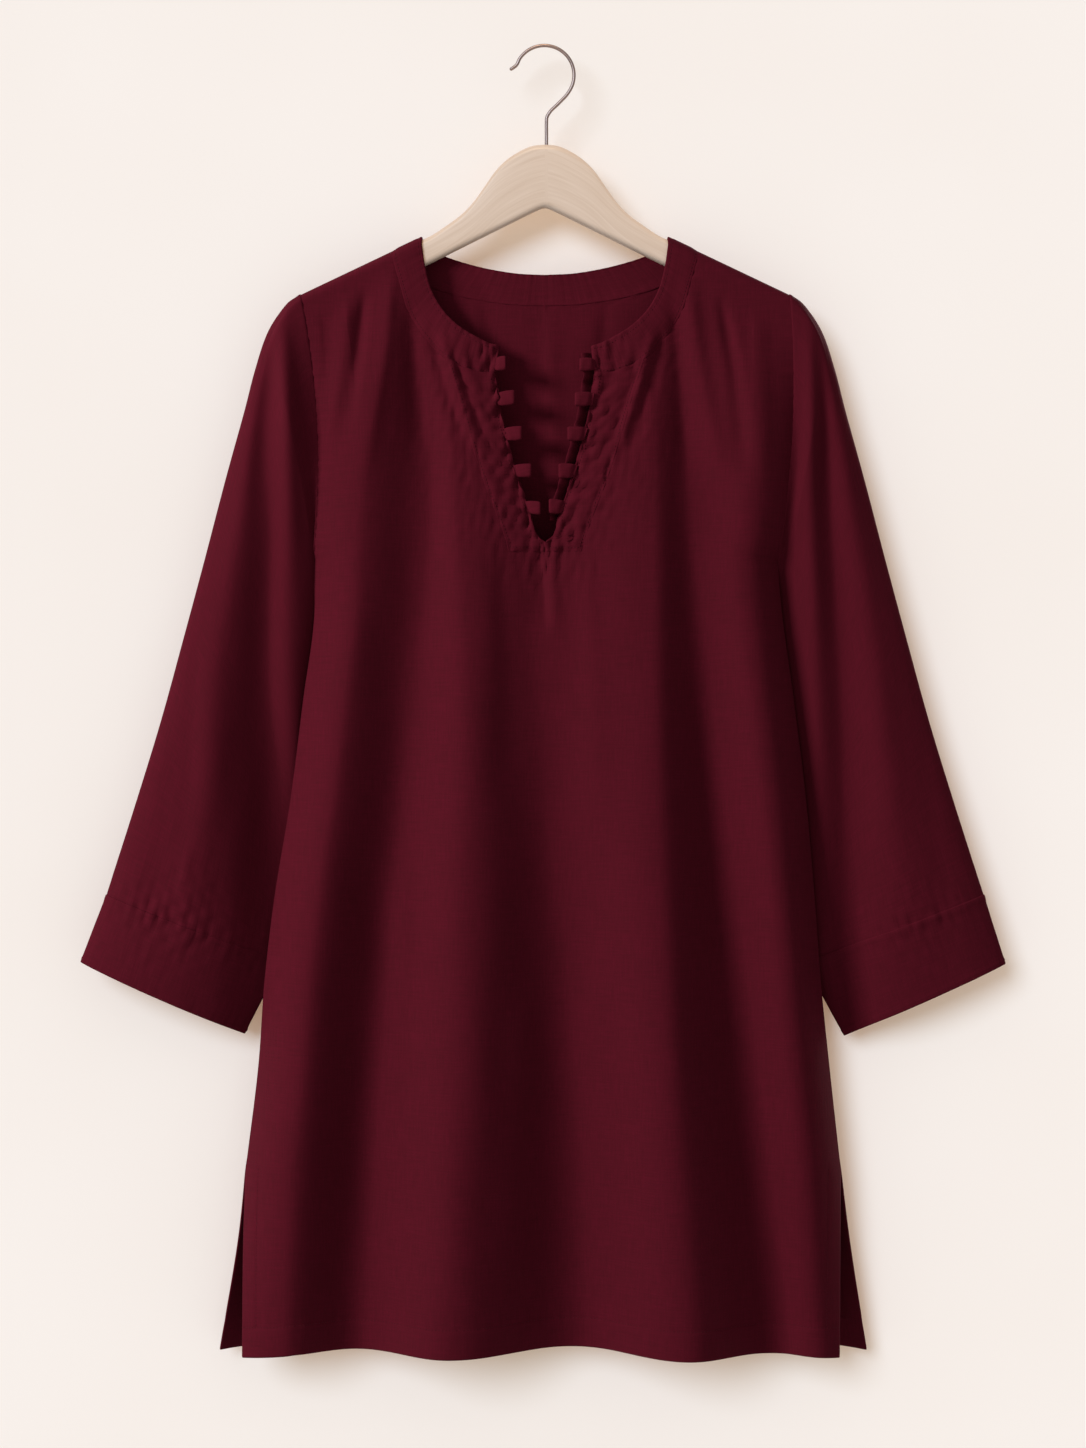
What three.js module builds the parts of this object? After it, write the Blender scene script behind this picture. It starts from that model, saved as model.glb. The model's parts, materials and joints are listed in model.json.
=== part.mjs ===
// A kurti with three-quarter sleeves, hung on a wooden clothes hanger.
// Millimetres. X runs to the right of someone facing the front, Y runs to the back and Z runs up.
// The origin is the inside top of the hook, where a rail carries the hanger.
import * as THREE from 'three';

// ---------------------------------------------------------------------------------------------
// Driving sizes
// ---------------------------------------------------------------------------------------------
const CLOTH = 1.4;            // wall of the cloth
const CUFF_CLOTH = 1.8;       // wall of a cuff, where the cloth is doubled
const SEAM_GAP = 0.3;         // pieces stand this far apart along a seam

const NECK_POINT = { x: 105.8, z: -163.4 };       // where the neck edge crosses the shoulder seam
const SHOULDER_POINT = { x: 210.7, z: -213.3 };   // where the shoulder seam meets the armhole
const UNDERARM = { x: 199.5, z: -441.2 };
const BAND_WIDTH = 23.8;      // width of a neckband at the shoulder seam
const ARMHOLE_BOW = 13;       // the armhole curves in by this much at its middle
const SLIT_TOP_Z = -962;
const HEM_Z = -1122;
const PLACKET_BOTTOM_Z = -434;

const RIDGE_RADIUS = 7.8;     // outside of the cloth where it turns over the hanger's arm
const RIDGE_ANGLES = [0, 30, 60, 90];             // degrees round that turn, one for each row of points
const DRAPE_LENGTH = 110;     // the cloth swings from the arm out to its own folds over this height
const EDGE_ROUND = 45;        // the panels round in to their side seams over this width
const HEM_LIFT_HEIGHT = 220;  // the hem's uneven level fades out over this height

const ARM_HALF_THICKNESS = 5.5;                   // half the thickness of the wooden arm
const ARM_GAP = 2.0;          // outside of the cloth to the wood, measured straight down
const ARM_TIP_X = 214.5;
const WIRE_RADIUS = 1.5;
const WIRE_SIDES = 8;
const HOOK_RADIUS = 25.5;     // bend of the hook, to the middle of the wire

const FRONT_COLUMNS = 13;     // columns of points from a placket's outer seam to the side
const STRIP_COLUMNS = 3;      // columns across a placket
const BACK_COLUMNS = 11;      // columns from the middle of the back to the side
const SEAM_ROWS = 17;         // rows of points down a side seam
const SLIT_ROWS = 5;          // rows down a side slit
const SLEEVE_RINGS = 16;
const CUFF_RINGS = 3;
const BAND_COLUMNS = 2;       // columns across a neckband
const STRIP_WIDTH_AT_HEM = 60;
const SQUARE_END_ROWS = 4;    // below the plackets' level end, the rows turn to their slant over these
const OVAL_FULLNESS = 0.8;    // under 1, a sleeve's section is fuller than an ellipse
const FLAT_BIAS = 0.9;        // a flat tube's outside is judged mostly across its thin way
const TAB_SQUARENESS = 0.7;   // under 1, a tab's section is squarer than an ellipse
const ARM_EDGE_STEPS = 6;     // steps round each edge of the wood
const ARM_TIP_HALF_HEIGHT = 5;
const ARM_TIP_THINNING = 0.6;
const HOOK_CENTRE_X = -0.5;
const HOOK_SHANK = [[1.3, -83.4], [1.3, -74], [1.3, -65], [1.6, -60.5], [4.2, -55.8], [11.2, -48.8]];
const HOOK_START = -36;       // degrees round the bend, from its right side
const HOOK_END = 160;
const HOOK_STEPS = 14;
const HOOK_TIP = { x: -30.3, z: -19.6 };
const HOOK_LENGTH_STEPS = 44;

// ---------------------------------------------------------------------------------------------
// Tables. x is measured out from the middle of the garment, z up from the origin.
// ---------------------------------------------------------------------------------------------

// The armhole below the turn over the arm: drop below the shoulder point, and how far the cloth
// stands out to the front and to the back there.
const ARMHOLE = [
  { drop: 30, depth: 10 },
  { drop: 60, depth: 12 },
  { drop: 95, depth: 13.5 },
  { drop: 130, depth: 14 },
  { drop: 165, depth: 13 },
  { drop: 195, depth: 10 },
  { drop: 216, depth: 6 },
  { drop: 227.9, depth: 0 },
];

// The front neckband below the turn: its seam to the front panel and its free neck edge.
const FRONT_BAND = [
  { seamX: 124, seamZ: -202, edgeX: 103, edgeZ: -190 },
  { seamX: 116, seamZ: -228, edgeX: 98, edgeZ: -209 },
  { seamX: 103, seamZ: -249, edgeX: 86, edgeZ: -229.5 },
  { seamX: 85, seamZ: -268, edgeX: 70, edgeZ: -244 },
  { seamX: 71, seamZ: -276, edgeX: 59, edgeZ: -250.5 },
  { seamX: 57, seamZ: -280.5, edgeX: 49.5, edgeZ: -255.3 },
  { seamX: 42.5, seamZ: -281, edgeX: 40, edgeZ: -258.2 },
];

// The back neckband below the turn, in to the middle of the back.
const BACK_BAND = [
  { seamX: 118, seamZ: -192, edgeX: 99, edgeZ: -173.5 },
  { seamX: 100, seamZ: -203.5, edgeX: 84, edgeZ: -180 },
  { seamX: 78, seamZ: -211, edgeX: 67, edgeZ: -185.5 },
  { seamX: 54, seamZ: -216, edgeX: 46, edgeZ: -190.5 },
  { seamX: 28, seamZ: -219.5, edgeX: 24, edgeZ: -194 },
  { seamX: 0, seamZ: -220.4, edgeX: 0, edgeZ: -195.2 },
];

// The V slit and the plackets' outer seams, below the neckband.
const V_ROWS = [
  { slitX: 38, slitZ: -313, seamX: 73, seamZ: -307 },
  { slitX: 29.5, slitZ: -349, seamX: 62, seamZ: -345 },
  { slitX: 17.5, slitZ: -388, seamX: 48, seamZ: -386 },
  { slitX: 0, slitZ: -426.3, seamX: 33, seamZ: -426 },
];
const PLACKET_WIDTH_BELOW = 31;   // half the width of the squared end below the V

// Side seams, and the side slit's edges below them.
const SIDE_SEAM = [
  { z: -441.2, left: 199.5, right: 199.5 },
  { z: -480, left: 198, right: 203 },
  { z: -562, left: 208, right: 214 },
  { z: -648, left: 219, right: 224.5 },
  { z: -734, left: 233, right: 232 },
  { z: -807, left: 241.5, right: 237.5 },
  { z: -871, left: 246, right: 244 },
  { z: -962, left: 257, right: 254 },
];
const FRONT_SLIT_EDGE = [
  { z: -962, left: 257, right: 254, depth: 0 },
  { z: -1010, left: 258, right: 253, depth: 7 },
  { z: -1122, left: 258, right: 251, depth: 20 },
];
const BACK_SLIT_EDGE = [
  { z: -962, left: 257, right: 254, depth: 0 },
  { z: -1010, left: 262, right: 260, depth: 5 },
  { z: -1122, left: 280.5, right: 277.5, depth: 13 },
];

// Folds, one row each from left to right. x and depth are given at five heights; depth is how far
// the cloth stands out there, and lift is how far the fold raises the hem.
const FOLD_HEIGHTS = [-230, -372, -519, -825, -1122];
const FRONT_FOLDS = [
  { name: 'left crest', x: [-165, -160, -172, -203, -224], depth: [12, 18, 25, 32, 32], lift: 4.5 },
  { name: 'left valley', x: [-114, -110, -117, -145, -162], depth: [10, 12, 13, 12, 11], lift: 5 },
  { name: 'middle left crest', x: [-72, -66, -64, -69, -81], depth: [12, 17, 26, 40, 50], lift: 4 },
  { name: 'middle valley', x: [0, 2, 8, 21, 10], depth: [11, 13, 15, 12, 9], lift: 7 },
  { name: 'middle right crest', x: [72, 75, 82, 98, 111], depth: [12, 17, 26, 40, 50], lift: 2.5 },
  { name: 'right valley', x: [114, 122, 130, 154, 192], depth: [10, 12, 13, 13, 14], lift: 2 },
  { name: 'right crest', x: [160, 167, 181, 208, 236], depth: [12, 16, 22, 28, 29], lift: 4 },
];
const BACK_FOLDS = [
  { name: 'left crest', x: [-160, -165, -178, -200, -228], depth: [12, 15, 19, 23, 27], lift: 3 },
  { name: 'left valley', x: [-112, -112, -118, -132, -150], depth: [9, 11, 12, 13, 14], lift: 5 },
  { name: 'middle crest', x: [-40, -38, -34, -26, -18], depth: [10, 14, 19, 25, 30], lift: 2 },
  { name: 'right valley', x: [70, 74, 80, 96, 112], depth: [9, 11, 12, 13, 14], lift: 4 },
  { name: 'right crest', x: [158, 164, 176, 196, 222], depth: [12, 15, 18, 23, 28], lift: 3 },
];

// Sleeve sections from the armhole to the cuff's seam. The outer edge is given by its place. The
// inner edge lies behind the body's side seam: tuck is how far in from the seam, and behind how
// far to the back. depth is half the sleeve's thickness, and blend turns the armhole's shape into
// a flat oval.
const SLEEVE = [
  { outX: 210.7, outZ: -213.3, inZ: -441.2, tuck: 0, behind: 0, depth: 14, blend: 0 },
  { outX: 223, outZ: -223, inZ: -456, tuck: -2.2, behind: 3, depth: 14, blend: 0.05 },
  { outX: 238, outZ: -246, inZ: -477, tuck: -1.5, behind: 6.5, depth: 14, blend: 0.2 },
  { outX: 249, outZ: -279, inZ: -504, tuck: 2, behind: 8.5, depth: 14.5, blend: 0.45 },
  { outX: 258, outZ: -314, inZ: -534, tuck: 4, behind: 9, depth: 15, blend: 0.7 },
  { outX: 274, outZ: -372, inZ: -575, tuck: 4.5, behind: 9.5, depth: 16, blend: 0.9 },
  { outX: 292, outZ: -441, inZ: -620, tuck: 4.5, behind: 9.5, depth: 16.5, blend: 1 },
  { outX: 310.5, outZ: -510, inZ: -664, tuck: 4.5, behind: 9.5, depth: 16.5, blend: 1 },
  { outX: 329.4, outZ: -579, inZ: -706, tuck: 4.5, behind: 9.5, depth: 16, blend: 1 },
  { outX: 350.5, outZ: -648, inZ: -747, tuck: 4.5, behind: 9.5, depth: 15, blend: 1 },
  { outX: 376.7, outZ: -730, inZ: -787.8, tuck: 4, behind: 9, depth: 13.5, blend: 1 },
];
// The cuff's open end.
const CUFF_END = { outX: 397.5, outZ: -787.8, inX: 257.5, inZ: -846, behind: 7, depth: 13 };

// The long trough down the front of each sleeve: its line, depth and half width.
const SLEEVE_TROUGH = {
  left: {
    line: [[-252, -330], [-256, -425], [-262, -550], [-262, -671], [-260, -763], [-257, -850]],
    depth: 5,
  },
  right: {
    line: [[238, -287], [243, -364], [252, -480], [259, -579], [263, -763], [263, -850]],
    depth: 5,
  },
};
const TROUGH_WIDTH = 20;
const TROUGH_FADE = 60;       // a trough's upper end runs out over this height

// The hanger's outline: its upper edge from the middle out to where the cloth covers it, and its
// straight lower edge.
const HANGER_TOP = [
  { x: 0, z: -83.8 }, { x: 11, z: -85 }, { x: 23, z: -90.3 }, { x: 33, z: -97 }, { x: 43, z: -107 },
  { x: 52, z: -120 }, { x: 61, z: -132.5 }, { x: 70, z: -142.3 }, { x: 83, z: -152.3 },
  { x: 98, z: -162.2 }, { x: 112, z: -168.4 },
];
const HANGER_BOTTOM = { z: -136, slope: 0.5, round: 12 };
const ARM_STATIONS = [130, 155, 180, 198, 207, 211.5, 213.7];
const ARM_TIP_ROUND = 9;      // the tip's corners are rounded over this length

// The tabs sewn into the V's edges: height of the middle, and length out into the slit.
const TABS = [
  { z: -274, left: 8, right: 12 },
  { z: -304, left: 13, right: 13.5 },
  { z: -334, left: 13, right: 13.5 },
  { z: -365.5, left: 12.5, right: 12.5 },
  { z: -396.5, left: 10.5, right: 11 },
];
const TAB = { height: 11.5, thickness: 4.4, sides: 10, gap: 0.5 };
// A tab's sections from its root to its rounded end: share of its length and of its full size.
const TAB_SECTIONS = [
  { along: 0, size: 0.86 }, { along: 0.12, size: 0.95 }, { along: 0.55, size: 1 },
  { along: 0.88, size: 0.93 }, { along: 1, size: 0.6 },
];

// ---------------------------------------------------------------------------------------------
// Small helpers
// ---------------------------------------------------------------------------------------------
const lerp = THREE.MathUtils.lerp;
const clamp01 = (value) => THREE.MathUtils.clamp(value, 0, 1);
const smooth = (value) => THREE.MathUtils.smoothstep(value, 0, 1);
const sideName = (side) => (side < 0 ? 'left' : 'right');

// A value read from a table of rows by its key column, straight between the rows.
function lookUp(rows, key, column, at) {
  const rising = rows[rows.length - 1][key] > rows[0][key] ? 1 : -1;
  let k = 0;
  while (k < rows.length - 2 && rising * (at - rows[k + 1][key]) > 0) k += 1;
  const share = clamp01((at - rows[k][key]) / (rows[k + 1][key] - rows[k][key]));
  return lerp(rows[k][column], rows[k + 1][column], share);
}

// A value on the smooth curve through evenly numbered rows, at a fractional row number.
function curveThrough(values, at) {
  const k = Math.min(values.length - 2, Math.max(0, Math.floor(at)));
  const f = at - k;
  const before = values[Math.max(0, k - 1)];
  const after = values[Math.min(values.length - 1, k + 2)];
  const [p, q] = [values[k], values[k + 1]];
  return 0.5 * (2 * p + (q - before) * f + (2 * before - 5 * p + 4 * q - after) * f * f
    + (3 * p - before - 3 * q + after) * f * f * f);
}

// Height of the shoulder line over any place beside the neck.
function ridgeZ(x) {
  const slope = (SHOULDER_POINT.z - NECK_POINT.z) / (SHOULDER_POINT.x - NECK_POINT.x);
  return NECK_POINT.z + slope * (Math.abs(x) - NECK_POINT.x);
}

// How far the cloth stands out where it turns over the arm, by its drop below the shoulder line.
function ridgeDepth(drop) {
  const inside = 1 - clamp01(drop / RIDGE_RADIUS);
  return RIDGE_RADIUS * Math.sqrt(1 - inside * inside);
}
const RIDGE_DROPS = RIDGE_ANGLES.map((a) => RIDGE_RADIUS * (1 - Math.cos(a * Math.PI / 180)));

// Depth or hem lift of the folds at a point: each fold's line is followed down the panel, and the
// cloth swings evenly from one line to the next.
function foldValue(folds, x, z, read) {
  let level = 0;
  while (level < FOLD_HEIGHTS.length - 2 && z < FOLD_HEIGHTS[level + 1]) level += 1;
  const at = level + clamp01((FOLD_HEIGHTS[level] - z) / (FOLD_HEIGHTS[level] - FOLD_HEIGHTS[level + 1]));
  const lines = folds.map((fold) => ({ x: curveThrough(fold.x, at), value: read(fold, at) }));
  if (x <= lines[0].x) return lines[0].value;
  for (let k = 1; k < lines.length; k += 1) {
    if (x <= lines[k].x) {
      const share = (x - lines[k - 1].x) / (lines[k].x - lines[k - 1].x);
      return lerp(lines[k - 1].value, lines[k].value, (1 - Math.cos(Math.PI * share)) / 2);
    }
  }
  return lines[lines.length - 1].value;
}
const foldDepth = (folds, x, z) => foldValue(folds, x, z, (fold, at) => curveThrough(fold.depth, at));
const foldLift = (folds, x) => foldValue(folds, x, HEM_Z, (fold) => fold.lift);

// A point on a panel's outside. face is -1 for the front and 1 for the back; toEdge is the
// distance to the panel's outer edge, and edgeDepth is how far that edge stands out.
function panelPoint(face, x, z, toEdge = EDGE_ROUND, edgeDepth = 0) {
  const folds = face < 0 ? FRONT_FOLDS : BACK_FOLDS;
  const drop = ridgeZ(x) - z;
  const swing = smooth((drop - RIDGE_RADIUS) / DRAPE_LENGTH);
  const inner = ridgeDepth(drop) + (foldDepth(folds, x, z) - RIDGE_RADIUS) * swing;
  const s = clamp01(toEdge / EDGE_ROUND);
  const depth = lerp(edgeDepth, inner, 1 - (1 - s) * (1 - s));
  const lift = foldLift(folds, x) * clamp01((HEM_Z + HEM_LIFT_HEIGHT - z) / HEM_LIFT_HEIGHT);
  return new THREE.Vector3(x, face * (SEAM_GAP / 2 + depth), z + lift * s);
}

// ---------------------------------------------------------------------------------------------
// Solids
// ---------------------------------------------------------------------------------------------

// Grows as pieces are laid out: outside points, the four-sided faces between them, and the
// directions that are fixed by hand along seams.
class Surface {
  constructor() {
    this.points = [];
    this.quads = [];
    this.fixed = new Map();
  }

  add(point) {
    this.points.push(point);
    return this.points.length - 1;
  }

  // Rows of point numbers, joined row to row; closed joins the last column to the first. Two
  // halves that share a line are joined with opposite turns.
  join(rows, { closed = false, turn = 1 } = {}) {
    for (let r = 0; r + 1 < rows.length; r += 1) {
      const count = closed ? rows[r].length : rows[r].length - 1;
      for (let c = 0; c < count; c += 1) {
        const d = (c + 1) % rows[r].length;
        const quad = [rows[r][c], rows[r][d], rows[r + 1][d], rows[r + 1][c]];
        this.quads.push(turn > 0 ? quad : quad.reverse());
      }
    }
  }

  // Outward directions at the points. away(point) tells roughly which way is out.
  normals(away) {
    const sums = this.points.map(() => new THREE.Vector3());
    const [one, two] = [new THREE.Vector3(), new THREE.Vector3()];
    for (const [a, b, c, d] of this.quads) {
      one.subVectors(this.points[c], this.points[a]);
      two.subVectors(this.points[d], this.points[b]);
      const normal = one.clone().cross(two);
      const middle = this.points[a].clone().add(this.points[c]).multiplyScalar(0.5);
      if (normal.dot(away(middle)) < 0) normal.negate();
      for (const k of [a, b, c, d]) sums[k].add(normal);
    }
    return sums.map((sum, k) => (this.fixed.get(k) ?? sum).clone().normalize());
  }
}

// A geometry from points and triangles, turned the right way out.
function solid(points, triangles) {
  const flat = new Float32Array(points.length * 3);
  points.forEach((p, k) => flat.set([p.x, p.y, p.z], 3 * k));
  let volume = 0;
  for (const [a, b, c] of triangles) {
    volume += points[a].dot(points[b].clone().cross(points[c]));
  }
  const index = triangles.flatMap(([a, b, c]) => (volume < 0 ? [a, c, b] : [a, b, c]));
  const geometry = new THREE.BufferGeometry();
  geometry.setAttribute('position', new THREE.BufferAttribute(flat, 3));
  geometry.setIndex(index);
  geometry.computeVertexNormals();
  return geometry;
}

// A wall of cloth on a surface. It starts `lifted` outside the surface and is `thickness` thick:
// inwards from the surface itself where nothing is lifted.
function wall(surface, away, thickness, lifted = null) {
  const normals = surface.normals(away);
  const outerStep = lifted === null ? 0 : lifted + thickness;
  const innerStep = lifted === null ? -thickness : lifted;
  const at = (step) => surface.points.map((p, k) => p.clone().addScaledVector(normals[k], step));
  const points = [...at(outerStep), ...at(innerStep)];
  const under = surface.points.length;
  const triangles = [];
  const quad = (a, b, c, d) => triangles.push([a, b, c], [a, c, d]);
  const edges = new Map();
  for (const [a, b, c, d] of surface.quads) {
    quad(a, b, c, d);
    quad(under + d, under + c, under + b, under + a);
    for (const [from, to] of [[a, b], [b, c], [c, d], [d, a]]) {
      if (!edges.delete(`${to},${from}`)) edges.set(`${from},${to}`, [from, to]);
    }
  }
  for (const [from, to] of edges.values()) quad(to, from, under + from, under + to);
  return solid(points, triangles);
}

const cloth = new THREE.MeshStandardMaterial({ color: 0x541522, roughness: 0.85, metalness: 0 });
const wood = new THREE.MeshStandardMaterial({ color: 0xd9c4af, roughness: 0.55, metalness: 0 });
const steel = new THREE.MeshStandardMaterial({ color: 0x8d8078, roughness: 0.35, metalness: 1 });
const garment = new THREE.Group();
const hangerGroup = new THREE.Group();

function addPiece(group, name, geometry, material) {
  const mesh = new THREE.Mesh(geometry, material.clone());
  mesh.name = name;
  group.add(mesh);
}

// ---------------------------------------------------------------------------------------------
// Body: rows of points down the panels
// ---------------------------------------------------------------------------------------------

// The armhole's rows, the turn over the arm first: place and depth of each.
function armholeRows() {
  const turn = RIDGE_DROPS.map((drop) => ({ drop, depth: ridgeDepth(drop) }));
  const full = SHOULDER_POINT.z - UNDERARM.z;
  return [...turn, ...ARMHOLE].map(({ drop, depth }) => {
    const q = drop / full;
    const x = lerp(SHOULDER_POINT.x, UNDERARM.x, q) - ARMHOLE_BOW * 4 * q * (1 - q);
    return { x, z: SHOULDER_POINT.z - drop, depth, share: q };
  });
}
const ARMHOLE_ROWS = armholeRows();
const UNDERARM_ROW = ARMHOLE_ROWS.length - 1;
const LAST_ROW = UNDERARM_ROW + SEAM_ROWS + SLIT_ROWS;

// The outer edge of a panel at a row: armhole, then side seam, then slit.
function outerEdge(face, side, row) {
  if (row <= UNDERARM_ROW) return ARMHOLE_ROWS[row];
  const column = sideName(side);
  const down = row - UNDERARM_ROW;
  if (down <= SEAM_ROWS) {
    const z = lerp(UNDERARM.z, SLIT_TOP_Z, down / SEAM_ROWS);
    return { x: lookUp(SIDE_SEAM, 'z', column, z), z, depth: 0 };
  }
  const z = lerp(SLIT_TOP_Z, HEM_Z, (down - SEAM_ROWS) / SLIT_ROWS);
  const edge = face < 0 ? FRONT_SLIT_EDGE : BACK_SLIT_EDGE;
  return { x: lookUp(edge, 'z', column, z), z, depth: lookUp(edge, 'z', 'depth', z) };
}

// Rows of a neckband: the turn over the arm, then its table.
function bandRows(table) {
  const start = { seamX: NECK_POINT.x + BAND_WIDTH, edgeX: NECK_POINT.x };
  const turn = RIDGE_DROPS.map((drop) => ({
    seamX: start.seamX,
    seamZ: ridgeZ(start.seamX) - drop,
    edgeX: start.edgeX,
    edgeZ: ridgeZ(start.edgeX) - drop,
  }));
  return [...turn, ...table];
}
const FRONT_BAND_ROWS = bandRows(FRONT_BAND);
const BACK_BAND_ROWS = bandRows(BACK_BAND);
const STRIP_TOP_ROW = FRONT_BAND_ROWS.length - 1 - STRIP_COLUMNS;   // where a placket's seam starts
const V_BOTTOM_ROW = STRIP_TOP_ROW + V_ROWS.length;

// Height of the middle line at a row below the placket.
function middleZ(row, firstRow) {
  return lerp(PLACKET_BOTTOM_Z, HEM_Z, (row - firstRow) / (LAST_ROW - firstRow));
}

// One point of a panel's grid: a share of the way along a straight row to the outer edge.
function gridPoint(face, side, inner, outer, share) {
  const x = side * lerp(inner.x, outer.x, share);
  const z = lerp(inner.z, outer.z, share);
  const toEdge = Math.hypot(outer.x - inner.x, outer.z - inner.z) * (1 - share);
  return panelPoint(face, x, z, toEdge, outer.depth);
}

// Straight out from the shoulder line, without leaning to the front or back.
function ridgeNormal(side) {
  const slope = (NECK_POINT.z - SHOULDER_POINT.z) / (SHOULDER_POINT.x - NECK_POINT.x);
  return new THREE.Vector3(side * slope, 0, 1);
}

// Square to the armhole's loop as seen from the side.
function armholeNormal(face, row) {
  if (row === 0) return new THREE.Vector3(0, 0, 1);
  if (row === UNDERARM_ROW) return new THREE.Vector3(0, 0, -1);
  const [above, below] = [ARMHOLE_ROWS[row - 1], ARMHOLE_ROWS[row + 1]];
  return new THREE.Vector3(0, face * (above.z - below.z), below.depth - above.depth);
}

// Square to a panel's smooth form, away from its outer edge.
function panelNormal(face, x, z) {
  const step = 0.5;
  const across = panelPoint(face, x + step, z).sub(panelPoint(face, x - step, z));
  const down = panelPoint(face, x, z - step).sub(panelPoint(face, x, z + step));
  const normal = across.cross(down);
  return normal.y * face < 0 ? normal.negate() : normal;
}

// Fixes a panel's directions where it meets its neighbours, so that the walls end face to face.
function fixOuterSeam(surface, face, side, row, number) {
  if (row > 0 && row < UNDERARM_ROW) surface.fixed.set(number, armholeNormal(face, row));
  if (row === UNDERARM_ROW) surface.fixed.set(number, new THREE.Vector3(side, 0, -1));
  if (row > UNDERARM_ROW && row <= UNDERARM_ROW + SEAM_ROWS) {
    surface.fixed.set(number, new THREE.Vector3(side, 0, 0));
  }
}

function fixNeckSeam(surface, face, side, row, number, seam) {
  if (row === 0) surface.fixed.set(number, ridgeNormal(side));
  else surface.fixed.set(number, panelNormal(face, side * seam.seamX, seam.seamZ));
}

const towardsFront = () => new THREE.Vector3(0, -1, 0);
const towardsBack = () => new THREE.Vector3(0, 1, 0);

// ---------------------------------------------------------------------------------------------
// Front panel, with the strips under its plackets, and the plackets on it
// ---------------------------------------------------------------------------------------------

// Where the strip beside the middle ends at a row below the V.
function stripWidth(row) {
  const down = (row - V_BOTTOM_ROW - 1) / (LAST_ROW - V_BOTTOM_ROW - 1);
  return lerp(PLACKET_WIDTH_BELOW, STRIP_WIDTH_AT_HEM, down);
}

// The inner points of a front row, as { x, z }: from the slit or the middle out to the strip's
// outer side. Above the plackets only the neckband's seam is left.
function innerFrontPoints(side, row) {
  if (row < STRIP_TOP_ROW) return [seamPlace(FRONT_BAND_ROWS[row])];
  if (row === STRIP_TOP_ROW) return FRONT_BAND_ROWS.slice(STRIP_TOP_ROW).reverse().map(seamPlace);
  const shares = Array.from({ length: STRIP_COLUMNS + 1 }, (_, c) => c / STRIP_COLUMNS);
  if (row <= V_BOTTOM_ROW) {
    const v = V_ROWS[row - STRIP_TOP_ROW - 1];
    return shares.map((s) => ({ x: lerp(v.slitX, v.seamX, s), z: lerp(v.slitZ, v.seamZ, s) }));
  }
  const outer = outerEdge(-1, side, row);
  const z = middleZ(row, V_BOTTOM_ROW + 1);
  const width = stripWidth(row);
  const slanted = clamp01((row - V_BOTTOM_ROW - 1) / SQUARE_END_ROWS);
  return shares.map((s) => ({ x: width * s, z: lerp(z, outer.z, slanted * width * s / outer.x) }));
}
const seamPlace = (band) => ({ x: band.seamX, z: band.seamZ });

function frontPanel() {
  const surface = new Surface();
  const middle = new Map();       // points on the middle line, shared by both halves
  const strips = {};
  for (const side of [-1, 1]) {
    const main = [];
    const strip = [];
    for (let row = 0; row <= LAST_ROW; row += 1) {
      const outer = outerEdge(-1, side, row);
      const inner = innerFrontPoints(side, row);
      const start = inner[inner.length - 1];
      const stripRow = inner.map(({ x, z }) => {
        const shared = x === 0 && row >= V_BOTTOM_ROW;
        if (shared && middle.has(row)) return middle.get(row);
        const toEdge = Math.hypot(outer.x - x, outer.z - z);
        const number = surface.add(panelPoint(-1, side * x, z, toEdge, outer.depth));
        if (shared) middle.set(row, number);
        return number;
      });
      const mainRow = [stripRow[stripRow.length - 1]];
      for (let c = 1; c <= FRONT_COLUMNS; c += 1) {
        mainRow.push(surface.add(gridPoint(-1, side, start, outer, c / FRONT_COLUMNS)));
      }
      if (row === 0) for (const number of mainRow) surface.fixed.set(number, ridgeNormal(side));
      if (row > 0 && row <= STRIP_TOP_ROW) {
        stripRow.forEach((number, k) => {
          fixNeckSeam(surface, -1, side, row, number, { seamX: inner[k].x, seamZ: inner[k].z });
        });
      }
      fixOuterSeam(surface, -1, side, row, mainRow[FRONT_COLUMNS]);
      main.push(mainRow);
      if (row >= STRIP_TOP_ROW) strip.push(stripRow);
    }
    surface.join(main, { turn: side });
    surface.join(strip, { turn: side });
    strips[sideName(side)] = strip;
  }
  return { surface, strips };
}

// A placket lies on the front: it is the strip's own points, moved out.
function placket(front, normals, side) {
  const surface = new Surface();
  const rows = front.strips[sideName(side)].slice(0, V_BOTTOM_ROW - STRIP_TOP_ROW + 2);
  surface.join(rows.map((row) => row.map((number) => {
    const point = front.surface.points[number].clone();
    if (Math.abs(point.x) < SEAM_GAP / 2) point.x = side * SEAM_GAP / 2;
    const added = surface.add(point);
    surface.fixed.set(added, normals[number]);
    return added;
  })));
  return wall(surface, towardsFront, CLOTH, SEAM_GAP);
}

const front = frontPanel();
addPiece(garment, 'front', wall(front.surface, towardsFront, CLOTH), cloth);
const frontNormals = front.surface.normals(towardsFront);
for (const side of [-1, 1]) {
  addPiece(garment, `placket_${sideName(side)}`, placket(front, frontNormals, side), cloth);
}

// ---------------------------------------------------------------------------------------------
// Back panel
// ---------------------------------------------------------------------------------------------

function innerBackPlace(row) {
  if (row < BACK_BAND_ROWS.length) return seamPlace(BACK_BAND_ROWS[row]);
  if (row > V_BOTTOM_ROW) return { x: 0, z: middleZ(row, V_BOTTOM_ROW + 1) };
  const last = BACK_BAND_ROWS.length - 1;
  const share = (row - last) / (V_BOTTOM_ROW + 1 - last);
  return { x: 0, z: lerp(BACK_BAND_ROWS[last].seamZ, PLACKET_BOTTOM_Z, share) };
}

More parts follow.
